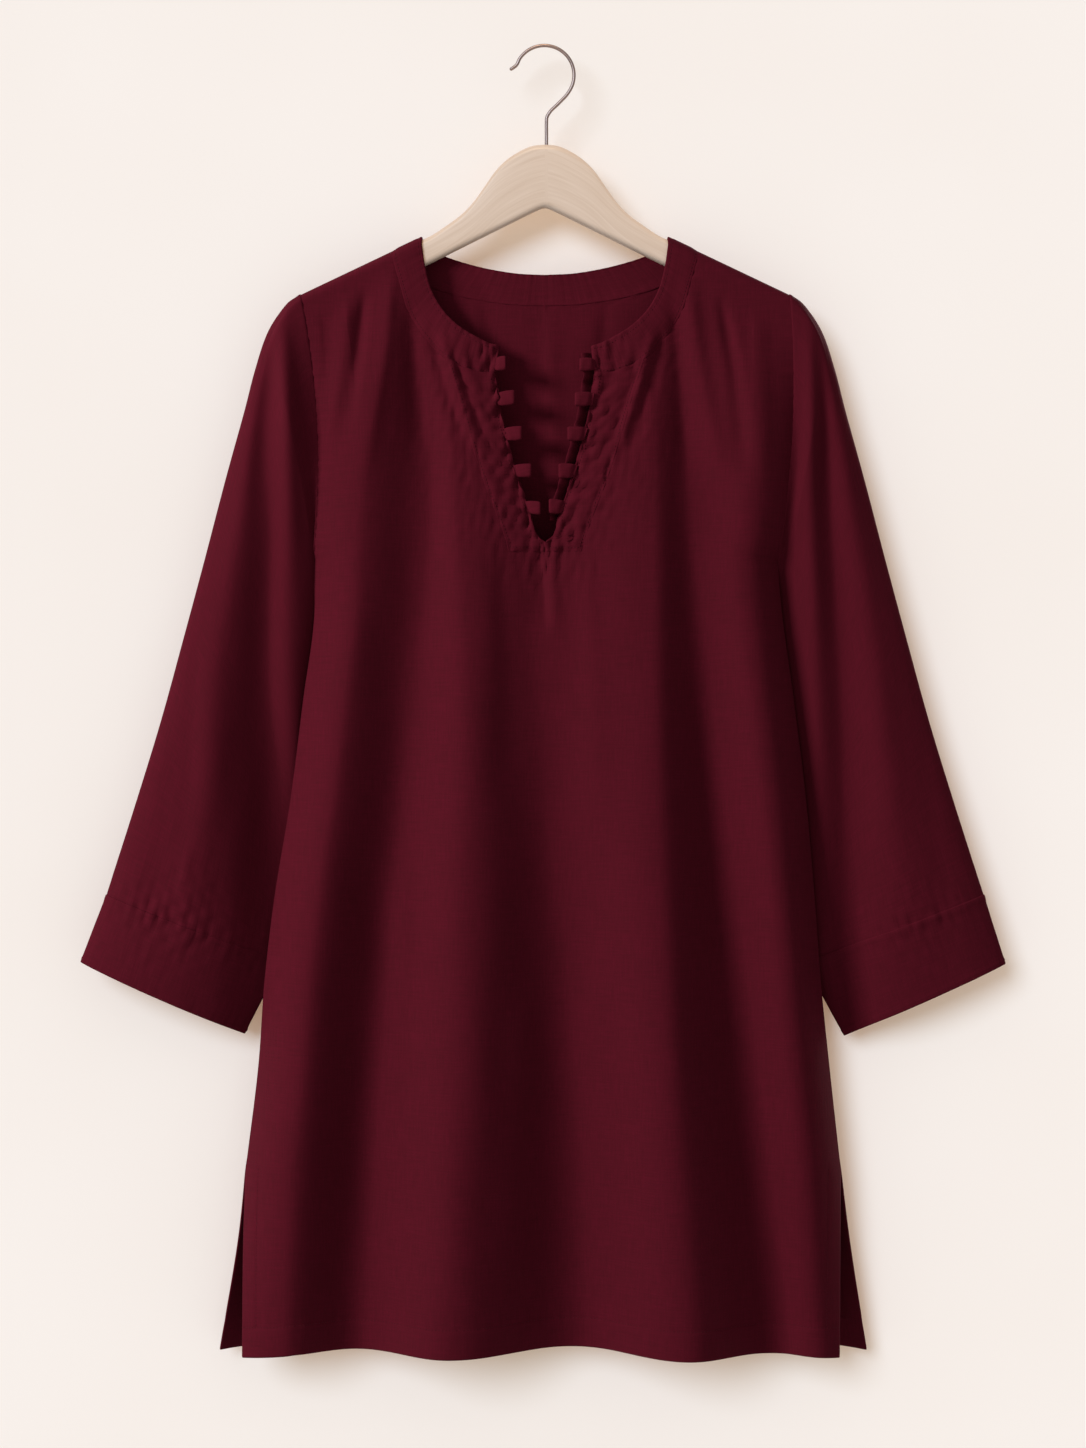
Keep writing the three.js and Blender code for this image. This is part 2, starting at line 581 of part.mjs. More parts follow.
function backPanel() {
  const surface = new Surface();
  const middle = new Map();
  for (const side of [-1, 1]) {
    const rows = [];
    for (let row = 0; row <= LAST_ROW; row += 1) {
      const outer = outerEdge(1, side, row);
      const inner = innerBackPlace(row);
      const numbers = [];
      for (let c = 0; c <= BACK_COLUMNS; c += 1) {
        const shared = c === 0 && inner.x === 0;
        if (shared && middle.has(row)) {
          numbers.push(middle.get(row));
          continue;
        }
        const number = surface.add(gridPoint(1, side, inner, outer, c / BACK_COLUMNS));
        if (shared) middle.set(row, number);
        numbers.push(number);
      }
      if (row === 0) for (const number of numbers) surface.fixed.set(number, ridgeNormal(side));
      if (row > 0 && row < BACK_BAND_ROWS.length) {
        fixNeckSeam(surface, 1, side, row, numbers[0], BACK_BAND_ROWS[row]);
      }
      fixOuterSeam(surface, 1, side, row, numbers[BACK_COLUMNS]);
      rows.push(numbers);
    }
    surface.join(rows, { turn: side });
  }
  return wall(surface, towardsBack, CLOTH);
}
addPiece(garment, 'back', backPanel(), cloth);

// ---------------------------------------------------------------------------------------------
// Neckbands
// ---------------------------------------------------------------------------------------------

// One row of a band: from a gap beyond its seam in to the free edge.
function bandRow(surface, face, side, row, band) {
  const length = Math.hypot(band.edgeX - band.seamX, band.edgeZ - band.seamZ);
  const numbers = [];
  for (let c = 0; c <= BAND_COLUMNS; c += 1) {
    const share = lerp(SEAM_GAP / length, 1, c / BAND_COLUMNS);
    const x = side * lerp(band.seamX, band.edgeX, share);
    const z = lerp(band.seamZ, band.edgeZ, share);
    const number = surface.add(panelPoint(face, x, z));
    if (c === 0) fixNeckSeam(surface, face, side, row, number, band);
    else if (row === 0) surface.fixed.set(number, ridgeNormal(side));
    numbers.push(number);
  }
  return numbers;
}

function frontBand(side) {
  const surface = new Surface();
  surface.join(FRONT_BAND_ROWS.map((band, row) => bandRow(surface, -1, side, row, band)));
  return wall(surface, towardsFront, CLOTH);
}

function backBand() {
  const surface = new Surface();
  const half = (side) => BACK_BAND_ROWS.map((band, row) => bandRow(surface, 1, side, row, band));
  const left = half(-1);
  const right = half(1);
  surface.join([...left.slice(0, -1), ...right.reverse()]);
  return wall(surface, towardsBack, CLOTH);
}
addPiece(garment, 'neckband_front_left', frontBand(-1), cloth);
addPiece(garment, 'neckband_front_right', frontBand(1), cloth);
addPiece(garment, 'neckband_back', backBand(), cloth);

// ---------------------------------------------------------------------------------------------
// Sleeves and cuffs
// ---------------------------------------------------------------------------------------------

// How far the trough presses the front of a sleeve back at a point.
function troughDepth(side, x, z) {
  const { line, depth } = SLEEVE_TROUGH[sideName(side)];
  const rows = line.map(([lineX, lineZ]) => ({ x: lineX, z: lineZ }));
  const offset = (x - lookUp(rows, 'z', 'x', z)) / TROUGH_WIDTH;
  return depth * Math.exp(-offset * offset) * smooth((rows[0].z + TROUGH_FADE / 2 - z) / TROUGH_FADE);
}

// One ring round a sleeve: down the front from its outer edge to its inner edge, then back up.
function sleeveRing(side, section) {
  const count = UNDERARM_ROW;
  const ring = [];
  for (let k = 0; k < 2 * count; k += 1) {
    const face = k > 0 && k < count ? -1 : 1;
    const row = k <= count ? k : 2 * count - k;
    const angle = Math.PI * row / count;
    const armhole = ARMHOLE_ROWS[row];
    const q = lerp(armhole.share, (1 - Math.cos(angle)) / 2, section.blend);
    const flat = section.depth * Math.sin(angle) ** OVAL_FULLNESS;
    const half = lerp(armhole.depth + SEAM_GAP / 2, flat, section.blend);
    const bow = ARMHOLE_BOW * 4 * q * (1 - q) * (1 - section.blend) ** 2;
    const x = side * (lerp(section.outX, section.inX, q) - bow);
    const z = lerp(section.outZ, section.inZ, q);
    const atEdge = row === 0 || row === count;
    const trough = face < 0 ? troughDepth(side, x, z) * Math.sin(angle) * section.blend : 0;
    ring.push(new THREE.Vector3(x, section.behind * q + (atEdge ? 0 : face * half) + trough, z));
  }
  return ring;
}

const sleeveColumn = (column, at) => curveThrough(SLEEVE.map((row) => row[column]), at);

function sleeveSection(side, share) {
  const at = share * (SLEEVE.length - 1);
  const inZ = sleeveColumn('inZ', at);
  return {
    outX: sleeveColumn('outX', at),
    outZ: sleeveColumn('outZ', at),
    inX: lookUp(SIDE_SEAM, 'z', sideName(side), inZ) - sleeveColumn('tuck', at),
    inZ,
    behind: sleeveColumn('behind', at),
    depth: sleeveColumn('depth', at),
    blend: clamp01(sleeveColumn('blend', at)),
  };
}

// Outwards on a tube: away from the middle of the nearest ring.
function awayFromRings(rings) {
  const middles = rings.map((ring) => ring.reduce((sum, p) => sum.add(p), new THREE.Vector3())
    .divideScalar(ring.length));
  const widths = rings.map((ring) => ring[0].clone().sub(ring[ring.length / 2]).normalize());
  return (point) => {
    let best = 0;
    middles.forEach((m, k) => {
      if (m.distanceTo(point) < middles[best].distanceTo(point)) best = k;
    });
    const out = point.clone().sub(middles[best]);
    const along = out.dot(widths[best]);
    return out.addScaledVector(widths[best], -along * FLAT_BIAS);
  };
}

function tubeWall(rings, thickness, fixed) {
  const surface = new Surface();
  surface.join(rings.map((ring) => ring.map((point) => surface.add(point))), { closed: true });
  fixed.forEach((normal, number) => surface.fixed.set(number, normal));
  const away = awayFromRings(rings);
  return { geometry: wall(surface, away, thickness), normals: surface.normals(away) };
}

for (const side of [-1, 1]) {
  const rings = [];
  for (let r = 0; r <= SLEEVE_RINGS; r += 1) {
    rings.push(sleeveRing(side, sleeveSection(side, r / SLEEVE_RINGS)));
  }
  for (const point of rings[0]) point.x += side * SEAM_GAP;
  const armholeFixed = new Map(rings[0].map((point, k) => {
    const row = k <= UNDERARM_ROW ? k : 2 * UNDERARM_ROW - k;
    return [k, armholeNormal(k < UNDERARM_ROW ? -1 : 1, row)];
  }));
  const sleeve = tubeWall(rings, CLOTH, armholeFixed);
  addPiece(garment, `sleeve_${sideName(side)}`, sleeve.geometry, cloth);

  const seam = sleeveSection(side, 1);
  const endRing = rings[SLEEVE_RINGS];
  const cuffRings = [];
  for (let r = 0; r <= CUFF_RINGS; r += 1) {
    const section = { ...seam };
    for (const key of Object.keys(CUFF_END)) section[key] = lerp(seam[key], CUFF_END[key], r / CUFF_RINGS);
    cuffRings.push(sleeveRing(side, section));
  }
  cuffRings[0] = endRing.map((point, k) => {
    const along = cuffRings[1][k].clone().sub(point).normalize();
    return point.clone().addScaledVector(along, SEAM_GAP);
  });
  const endNormals = sleeve.normals.slice(-endRing.length);
  const cuff = tubeWall(cuffRings, CUFF_CLOTH, new Map(endNormals.map((normal, k) => [k, normal])));
  addPiece(garment, `cuff_${sideName(side)}`, cuff.geometry, cloth);
}

// ---------------------------------------------------------------------------------------------
// Tabs in the V
// ---------------------------------------------------------------------------------------------

// A closed solid through rings of points, with flat ends.
function ringSolid(rings) {
  const points = rings.flat();
  const count = rings[0].length;
  const triangles = [];
  for (let r = 0; r + 1 < rings.length; r += 1) {
    for (let k = 0; k < count; k += 1) {
      const [a, b] = [r * count + k, r * count + (k + 1) % count];
      triangles.push([a, b, b + count], [a, b + count, a + count]);
    }
  }
  const last = (rings.length - 1) * count;
  for (let k = 1; k + 1 < count; k += 1) {
    triangles.push([0, k + 1, k], [last, last + k, last + k + 1]);
  }
  return solid(points, triangles);
}

const V_EDGE = [
  ...FRONT_BAND_ROWS.slice(-1).flatMap((band) => [
    { z: band.edgeZ, x: band.edgeX }, { z: band.seamZ, x: band.seamX },
  ]),
  ...V_ROWS.map((row) => ({ z: row.slitZ, x: row.slitX })),
];

// A plump cloth tab: rounded sections from its root along the V's edge out into the slit.
function tab(side, z, length) {
  const root = lookUp(V_EDGE, 'z', 'x', z);
  const y = panelPoint(-1, side * root, z).y - SEAM_GAP / 2;
  const rings = TAB_SECTIONS.map(({ along, size }) => {
    const ring = [];
    for (let k = 0; k < TAB.sides; k += 1) {
      const angle = 2 * Math.PI * (k + 0.5) / TAB.sides;
      const [c, s] = [Math.cos(angle), Math.sin(angle)];
      const pointZ = z + Math.sign(s) * Math.abs(s) ** TAB_SQUARENESS * size * TAB.height / 2;
      const pointY = y + Math.sign(c) * Math.abs(c) ** TAB_SQUARENESS * size * TAB.thickness / 2;
      const edge = lookUp(V_EDGE, 'z', 'x', pointZ);
      const x = lerp(edge - TAB.gap, root - TAB.gap - length, along);
      ring.push(new THREE.Vector3(side * x, pointY, pointZ));
    }
    return ring;
  });
  return ringSolid(rings);
}
TABS.forEach((row, k) => {
  for (const side of [-1, 1]) {
    const name = sideName(side);
    addPiece(garment, `tab_${name}_${k + 1}`, tab(side, row.z, row[name]), cloth);
  }
});

// ---------------------------------------------------------------------------------------------
// Hanger and hook
// ---------------------------------------------------------------------------------------------

function hangerTop(x) {
  const last = HANGER_TOP[HANGER_TOP.length - 1].x;
  return x <= last ? lookUp(HANGER_TOP, 'x', 'z', x) : ridgeZ(x) - ARM_GAP;
}

function hangerBottom(x) {
  const { z, slope, round } = HANGER_BOTTOM;
  return z - slope * (Math.hypot(x, round) - round);
}

// One section of the wood at a distance out from the middle: straight sides, round edges.
function hangerSection(x) {
  const reach = Math.abs(x);
  const fromTip = clamp01((ARM_TIP_X - reach) / ARM_TIP_ROUND);
  const full = Math.sqrt(1 - (1 - fromTip) ** 2);
  const middle = (hangerTop(reach) + hangerBottom(reach)) / 2;
  const half = lerp(ARM_TIP_HALF_HEIGHT, (hangerTop(reach) - hangerBottom(reach)) / 2, full);
  const radius = Math.min(ARM_HALF_THICKNESS, half) * lerp(ARM_TIP_THINNING, 1, full);
  const ring = [];
  for (const end of [1, -1]) {
    for (let k = 0; k <= ARM_EDGE_STEPS; k += 1) {
      const angle = Math.PI * (k / ARM_EDGE_STEPS - 0.5);
      const y = end * radius * Math.sin(angle);
      const z = middle + end * (half - radius + radius * Math.cos(angle));
      ring.push(new THREE.Vector3(x, y, z));
    }
  }
  return ring;
}

const armPlaces = [...HANGER_TOP.slice(1).map((row) => row.x), ...ARM_STATIONS];
const sections = [...armPlaces.map((x) => -x).reverse(), 0, ...armPlaces].map(hangerSection);
addPiece(hangerGroup, 'hanger', ringSolid(sections), wood);

// The hook: a straight shank out of the wood, an easy bend over to the side, and a round hook
// whose end turns out a little.
function hookPath() {
  const centre = { x: HOOK_CENTRE_X, z: WIRE_RADIUS - HOOK_RADIUS };
  const points = HOOK_SHANK.map(([x, z]) => new THREE.Vector3(x, 0, z));
  for (let k = 0; k <= HOOK_STEPS; k += 1) {
    const angle = lerp(HOOK_START, HOOK_END, k / HOOK_STEPS) * Math.PI / 180;
    points.push(new THREE.Vector3(
      centre.x + HOOK_RADIUS * Math.cos(angle), 0, centre.z + HOOK_RADIUS * Math.sin(angle)));
  }
  points.push(new THREE.Vector3(HOOK_TIP.x, 0, HOOK_TIP.z));
  return new THREE.CatmullRomCurve3(points, false, 'centripetal');
}

function hook() {
  const section = new THREE.Shape();
  for (let k = 0; k <= WIRE_SIDES; k += 1) {
    const angle = 2 * Math.PI * k / WIRE_SIDES;
    const [x, y] = [WIRE_RADIUS * Math.cos(angle), WIRE_RADIUS * Math.sin(angle)];
    if (k === 0) section.moveTo(x, y);
    else section.lineTo(x, y);
  }
  return new THREE.ExtrudeGeometry(section, { steps: HOOK_LENGTH_STEPS, extrudePath: hookPath() });
}
addPiece(hangerGroup, 'hook', hook(), steel);

const kurti = new THREE.Group();
kurti.add(garment, hangerGroup);

export default kurti;
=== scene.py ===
# %% [markdown]
# # A kurti on a wooden clothes hanger
# A straight wine-red kurti with three-quarter sleeves hangs flat on a pale wooden hanger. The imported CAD
# model gives each piece its place. Here the cloth gets its folds, edges and sewing, and every surface
# gets the finish of the real stuff. Sizes are in millimetres until a mesh is made.

# %% Load the frame
import json
import math

import bpy
import numpy as np
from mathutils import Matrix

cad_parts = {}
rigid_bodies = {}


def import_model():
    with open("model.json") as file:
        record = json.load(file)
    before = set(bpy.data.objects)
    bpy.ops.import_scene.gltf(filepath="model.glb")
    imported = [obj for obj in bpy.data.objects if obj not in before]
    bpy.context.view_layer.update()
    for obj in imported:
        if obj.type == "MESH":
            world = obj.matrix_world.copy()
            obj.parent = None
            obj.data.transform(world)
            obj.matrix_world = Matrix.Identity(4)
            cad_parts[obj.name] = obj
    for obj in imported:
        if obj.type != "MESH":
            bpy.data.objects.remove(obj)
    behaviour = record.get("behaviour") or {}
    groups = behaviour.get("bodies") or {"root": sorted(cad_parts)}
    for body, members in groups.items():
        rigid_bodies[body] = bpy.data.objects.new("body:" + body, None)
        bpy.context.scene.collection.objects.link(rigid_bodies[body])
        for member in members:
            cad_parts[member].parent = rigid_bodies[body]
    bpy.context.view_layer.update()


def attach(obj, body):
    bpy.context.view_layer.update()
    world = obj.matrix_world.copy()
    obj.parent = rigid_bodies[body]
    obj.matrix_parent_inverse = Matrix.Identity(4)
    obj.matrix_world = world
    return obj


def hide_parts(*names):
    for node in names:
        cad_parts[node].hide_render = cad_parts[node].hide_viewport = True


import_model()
MM = 0.001

# %% [markdown]
# ## Colours and nodes
# Cloth, wood and steel are given as hex colours, as a dyer's or a painter's card gives them.
# Blender works in linear light, so one function turns them. One more adds a node with its settings.


# %% Colour and node helpers
def linear(hex_colour, alpha=1.0):
    """sRGB to linear light: c / 12.92 up to 0.04045, above it ((c + 0.055) / 1.055) to the power 2.4."""
    srgb = np.array([int(hex_colour[k:k + 2], 16) for k in (1, 3, 5)]) / 255
    value = np.where(srgb <= 0.04045, srgb / 12.92, ((srgb + 0.055) / 1.055) ** 2.4)
    return (*value.tolist(), alpha)


def fill(made, inputs):
    """Gives a node's inputs, by name or number, a value each, or a link from an output socket."""
    for name, value in inputs.items():
        if isinstance(value, bpy.types.NodeSocket):
            made.id_data.links.new(value, made.inputs[name])
        else:
            made.inputs[name].default_value = value


def node(tree, kind, inputs, output=0, **settings):
    """Adds a node and gives one of its outputs, by name or number."""
    made = tree.nodes.new(kind)
    for name, value in settings.items():
        setattr(made, name, value)
    fill(made, inputs)
    return made.outputs[output]


def maths(tree, operation, *values):
    """One step of arithmetic on sockets or numbers."""
    return node(tree, "ShaderNodeMath", dict(enumerate(values)), operation=operation)


def stretched(tree, place, scale):
    """A place times a scale along each axis, so a pattern read there is drawn out along the small ones."""
    return node(tree, "ShaderNodeVectorMath", {0: place, 1: scale}, operation="MULTIPLY")


def noise(tree, place, scale=1.0, detail=2.0, roughness=0.5, distortion=0.0):
    """Soft noise from 0 to 1. Scale is its number of waves to the metre."""
    return node(tree, "ShaderNodeTexNoise", {"Vector": place, "Scale": scale, "Detail": detail,
                                             "Roughness": roughness, "Distortion": distortion})


def in_range(tree, value, start, end, low, high):
    """Turns the range from start to end into the one from low to high."""
    return node(tree, "ShaderNodeMapRange", dict(enumerate((value, start, end, low, high))))


def times(tree, colour, share):
    """A colour made darker or lighter by a share."""
    return node(tree, "ShaderNodeMix", {0: 1.0, 6: colour, 7: share}, 2, data_type="RGBA",
                blend_type="MULTIPLY")


def new_material(name):
    """An empty material with its Principled shader. Gives the material, its tree and the shader."""
    material = bpy.data.materials.new(name)
    material.use_nodes = True
    tree = material.node_tree
    return material, tree, tree.nodes["Principled BSDF"]


def ramp(tree, value, stops):
    """A colour ramp on a value. stops are (place, hex colour) or (place, grey number)."""
    made = node(tree, "ShaderNodeValToRGB", {0: value})
    elements = made.node.color_ramp.elements
    while len(elements) < len(stops):
        elements.new(0.5)
    for element, (place, colour) in zip(elements, stops):
        element.position = place
        element.color = linear(colour) if isinstance(colour, str) else (colour, colour, colour, 1)
    return made


# %% [markdown]
# ## Cotton and linen cloth
# The cloth is a plain weave of cotton with some linen, dyed wine red in the piece. Its yarns are uneven,
# so thicker lengths called slubs run both ways and take the dye a little lighter or darker. It has almost
# no shine, and a faint bloom of loose fibre shows where it turns away. The weave follows the cut, so it
# reads each piece's own UV map, which is laid out in metres along the warp and the weft.


# %% Cloth material
YARN = 0.55            # mm between yarns, a little coarser than the real 0.45 so that it shows
SLUB_LENGTH = 20.0     # mm, usual length of a thick place in a yarn


def woven_cloth(name, dark, middle, light, fuzz=0.06):
    """Plain weave: two square sets of yarns cross, and slubs stretched along each set vary them."""
    material, tree, shader = new_material(name)
    cut = node(tree, "ShaderNodeUVMap", {}, uv_map="cut")
    long, wide = 1 / (SLUB_LENGTH * MM), 1 / (2.2 * YARN * MM)
    slubs = [noise(tree, stretched(tree, cut, scale), roughness=0.6)
             for scale in ((wide, long, 1), (long, wide, 1))]
    both = maths(tree, "ADD", *slubs)
    # Uneven dye: broad soft patches a few centimetres across.
    patches = noise(tree, cut, 16.0, 3.0, 0.55)
    half = maths(tree, "MULTIPLY", both, 0.5)
    mixed = node(tree, "ShaderNodeMix", {0: 0.12, 2: half, 3: patches}, data_type="FLOAT")
    shade = ramp(tree, mixed, [(0.34, dark), (0.5, middle), (0.68, light)])
    # Single yarns: a checker of crossing places at the yarn's pitch. It raises the weave's bump, and it also
    # paints the colour as painted shade: darker in the weave's low places and lighter on its high ones.
    yarns = []
    for axis in (0, 1):
        place = node(tree, "ShaderNodeSeparateXYZ", {0: cut}, axis)
        yarns.append(maths(tree, "SINE", maths(tree, "MULTIPLY", place, 2 * math.pi / (2 * YARN * MM))))
    crossing = maths(tree, "MULTIPLY", *yarns)
    height = maths(tree, "MULTIPLY_ADD", crossing, 0.35, both)
    fill(shader, {
        # Painted shade of the weave: the colour is multiplied by 0.86 in the weave's low places and by 1.08
        # on its high ones.
        "Base Color": times(tree, shade, in_range(tree, crossing, -1.0, 1.0, 0.86, 1.08)),
        "Normal": node(tree, "ShaderNodeBump", {"Strength": 0.35, "Distance": 0.00035, "Height": height}),
        "Roughness": in_range(tree, mixed, 0.3, 0.7, 0.82, 0.94),
        "Specular IOR Level": 0.06,
        "Sheen Weight": fuzz, "Sheen Roughness": 0.45, "Sheen Tint": linear("#a83a52")})
    return material


CLOTH_RED = woven_cloth("wine_red_cotton_linen", "#450a17", "#4b0c1a", "#520e1e")
print("cloth: yarns", YARN, "mm apart, slubs", SLUB_LENGTH, "mm long")

# %% [markdown]
# ## Lines through tables
# A maker's pattern is a few measured points with easy curves between them. Two helpers read such tables:
# one runs a smooth cubic through rows with their own spacing, and the other through evenly numbered rows.


# %% Curves through tables
def lerp(a, b, share):
    """A straight mix: a at share 0 and b at share 1."""
    return a + (b - a) * share


def smooth(share):
    """Rises from 0 to 1 as 3 s squared minus 2 s cubed."""
    share = np.clip(share, 0, 1)
    return share * share * (3 - 2 * share)


def table_curve(keys, values, at):
    """A cubic between each pair of rows. The slope at a row comes from its neighbours on both sides."""
    keys, values = np.asarray(keys, float), np.asarray(values, float)
    slope = np.gradient(values, keys, axis=0)
    at = np.clip(at, keys[0], keys[-1])
    k = np.clip(np.searchsorted(keys, at, "right") - 1, 0, len(keys) - 2)
    step = keys[k + 1] - keys[k]
    f = (at - keys[k]) / step
    if values.ndim > 1:
        f, step = f[..., None], step[..., None]
    return ((1 + 2 * f) * (1 - f) ** 2 * values[k] + f * (1 - f) ** 2 * step * slope[k]
            + f * f * (3 - 2 * f) * values[k + 1] + f * f * (f - 1) * step * slope[k + 1])


def lengths(points):
    """How far along a line of points each one is."""
    return np.r_[0, np.cumsum(np.linalg.norm(np.diff(points, axis=0), axis=1))]


def unit(vectors):
    """Each vector divided by its length."""
    return vectors / np.maximum(np.linalg.norm(vectors, axis=-1, keepdims=True), 1e-9)


def along(points, shares):
    """Points on the smooth line through some points, at shares of its length from 0 to 1."""
    points = np.asarray(points, float)
    length = lengths(points)
    return table_curve(length, points, np.asarray(shares) * length[-1])


def by_height(table, column, z):
    """Reads a column of a table whose first column is the height, from the top down."""
    return table_curve(-table[:, 0], table[:, column], -z)


def by_number(values, at):
    """The Catmull-Rom cubic through evenly numbered values, at fractional numbers."""
    values = np.asarray(values, float)
    k = np.clip(np.floor(at).astype(int), 0, len(values) - 2)
    f = at - k
    before, p, q = values[np.maximum(k - 1, 0)], values[k], values[k + 1]
    after = values[np.minimum(k + 2, len(values) - 1)]
    return 0.5 * (2 * p + (q - before) * f + (2 * before - 5 * p + 4 * q - after) * f * f
                  + (3 * p - before - 3 * q + after) * f ** 3)


# %% [markdown]
# ## How the cloth hangs
# The garment turns over the hanger's arm in a small round, then swings out to long folds that deepen
# towards the hem. Each fold is a line down the panel with a depth at five heights, and the cloth swings
# evenly, as a half wave, from one line to the next. The finer creases lie on these folds.

# %% The garment's sizes
SIDES = {-1: "left", 1: "right"}
HALF_GAP = 0.15
NECK_POINT = (105.8, -163.4)          # where the neck edge crosses the shoulder seam
SHOULDER_POINT = (210.7, -213.3)
UNDERARM = (199.5, -441.2)
BAND_WIDTH = 23.8
ARMHOLE_BOW = {-1: 9.0, 1: -8.0}         # the right armhole lies turned a little outwards
HEM_Z = -1122.0
PLACKET_BOTTOM_Z = -434.0
RIDGE_RADIUS = 7.8                    # outside of the cloth over the hanger's arm
DRAPE_LENGTH = 110.0
EDGE_ROUND = 45.0                     # the panels round in to their side seams over this width
HEM_LIFT_HEIGHT = 220.0
CRUMPLE_REACH, TAB_RIDGE_REACH = 26.0, 11.0   # how far the crumples and the tabs' ridges run from the V

ARMHOLE = np.array([                  # drop below the shoulder point, depth
    (7.8, 7.8), (30, 8), (60, 7), (95, 6.3), (130, 6), (165, 6), (195, 5.5), (216, 4), (227.9, 0)])
FRONT_BAND = np.array([               # seam x, seam z, edge x, edge z
    (124, -202, 103, -190), (116, -228, 98, -209), (103, -249, 86, -229.5), (85, -268, 70, -244),
    (71, -276, 59, -250.5), (57, -280.5, 49.5, -255.3), (42.5, -281, 40, -258.2)])
BACK_BAND = np.array([
    (118, -192, 99, -173.5), (100, -203.5, 84, -180), (78, -211, 67, -185.5), (54, -216, 46, -190.5),
    (28, -219.5, 24, -194), (0, -220.4, 0, -195.2)])
V_ROWS = np.array([                   # slit x, slit z, placket seam x, placket seam z
    (42.5, -281, 85, -268), (38, -313, 73, -307), (29.5, -349, 62, -345), (17.5, -388, 48, -386),
    (11.4, -406, 40.5, -405), (10, -414, 37.5, -413), (7, -421, 35, -420), (0, -426.3, 33, -426)])
TABS = [                              # height of the middle, length on the left and on the right
    (-274, 8, 12), (-304, 13, 13.5), (-334, 13, 13.5), (-365.5, 12.5, 12.5), (-396.5, 10.5, 11)]
V_TOP = (40, -258.2)                  # where the slit's edge meets the neck's edge
SIDE_SEAM = np.array([                # z, left x, right x
    (-441.2, 199.5, 199.5), (-480, 198, 203), (-562, 208, 214), (-648, 219, 224.5), (-734, 233, 232),
    (-807, 241.5, 237.5), (-871, 246, 244), (-962, 257, 254)])
SLIT_TOP_Z = SIDE_SEAM[-1, 0]
FRONT_SLIT_EDGE = np.array([          # z, left x, right x, depth
    (-962, 257, 254, 0), (-1010, 258, 253, 7), (-1122, 258, 251, 20)])
BACK_SLIT_EDGE = np.array([(-962, 257, 254, 0), (-1010, 262, 260, 5), (-1122, 280.5, 277.5, 13)])

FOLD_HEIGHTS = np.array([-230, -372, -519, -825, -1122.0])
FRONT_FOLDS = [                       # x at the five heights, depth at them, lift of the hem
    ([-133, -157, -173, -203, -224], [15, 22, 28, 36, 35], 4.5),
    ([-115, -101, -112, -145, -162], [8, 6, 8, 8, 7], 5),
    ([-74, -76, -66, -69, -81], [12, 16, 27, 43, 52], 4),
    ([0, -4, -4, 17, 24], [8, 9, 10, 8, 6], 7),
    ([76, 92, 92, 102, 122], [12, 18, 27, 43, 52], 2.5),
    ([118, 124, 132, 160, 192], [8, 7, 8, 9, 11], 2),
    ([165, 186, 195, 224, 245], [15, 23, 29, 35, 36], 4)]
BACK_FOLDS = [
    ([-150, -162, -178, -200, -228], [13, 17, 21, 26, 29], 3),
    ([-104, -108, -118, -132, -150], [6, 6, 8, 8, 8], 5),
    ([-40, -38, -34, -26, -18], [7, 9, 18, 29, 34], 2),
    ([62, 72, 80, 96, 112], [6, 6, 8, 8, 8], 4),
    ([146, 160, 176, 196, 222], [13, 16, 20, 26, 30], 3)]

# %% [markdown]
# ## Creases
# Between the long folds the cloth keeps finer marks: soft ridges and troughs that start at a seam or at
# the armhole and run out. Each row is one crease: its line, its height (troughs are below zero), its
# half width at the top and at the bottom, and how steep it is to one side.

# %% Creases of the front and back
FRONT_CREASES = [                     # x, z of the line's three points, height, two half widths, lean
    (-132, -200, -138, -262, -156, -372, 2.6, 7, 11, 0.3),
    (-155, -215, -160, -262, -172, -330, -3.4, 5, 7, 0.0),
    (-170, -222, -172, -270, -184, -340, 2.4, 5, 7, 0.0),
    (-189, -232, -187, -262, -190, -300, -2.0, 4, 6, 0.0),
    (-114, -225, -112, -280, -106, -350, -2.6, 7, 10, 0.0),
    (-98, -246, -86, -290, -68, -345, -2.8, 3, 5, 0.4),
    (-88, -250, -76, -292, -58, -350, 2.2, 3, 4, 0.0),
    (-80, -262, -66, -300, -50, -340, -2.2, 3, 4, 0.0),
    (-71, -262, -59, -300, -44, -345, 1.6, 2.5, 3.5, 0.0),
    (124, -208, 130, -262, 150, -372, 3.4, 7, 10, 0.0),
    (110, -225, 116, -290, 122, -372, -3.0, 6, 9, 0.0),
    (152, -222, 162, -280, 172, -372, -3.4, 5, 9, 0.0),
    (182, -232, 184, -290, 186, -372, 2.2, 6, 8, 0.0),
    (100, -246, 90, -290, 72, -350, -2.8, 3, 5, -0.4),
    (91, -250, 80, -292, 62, -350, 2.4, 3, 4, 0.0),
    (80, -262, 70, -300, 52, -350, -2.0, 3, 4, 0.0),
    (62, -262, 60, -275, 52, -300, -2.0, 3, 4, 0.0),
    (-3.5, -430, -2, -455, 0, -500, -2.6, 3, 6, 0.6),
    (5, -430, 7, -455, 9, -500, 1.8, 3, 6, 0.0),
    (-38, -440, -34, -520, -30, -640, -1.4, 8, 14, 0.0),
    (36, -445, 40, -540, 46, -690, 1.4, 8, 15, 0.0),
    (-120, -700, -126, -820, -138, -980, 1.6, 10, 16, 0.5),
    (60, -800, 66, -920, 62, -1060, -1.8, 12, 16, 0.0),
    (132, -560, 140, -680, 156, -820, -1.6, 9, 14, 0.0),
    (-20, -820, -24, -940, -34, -1080, 1.5, 12, 18, 0.0)]
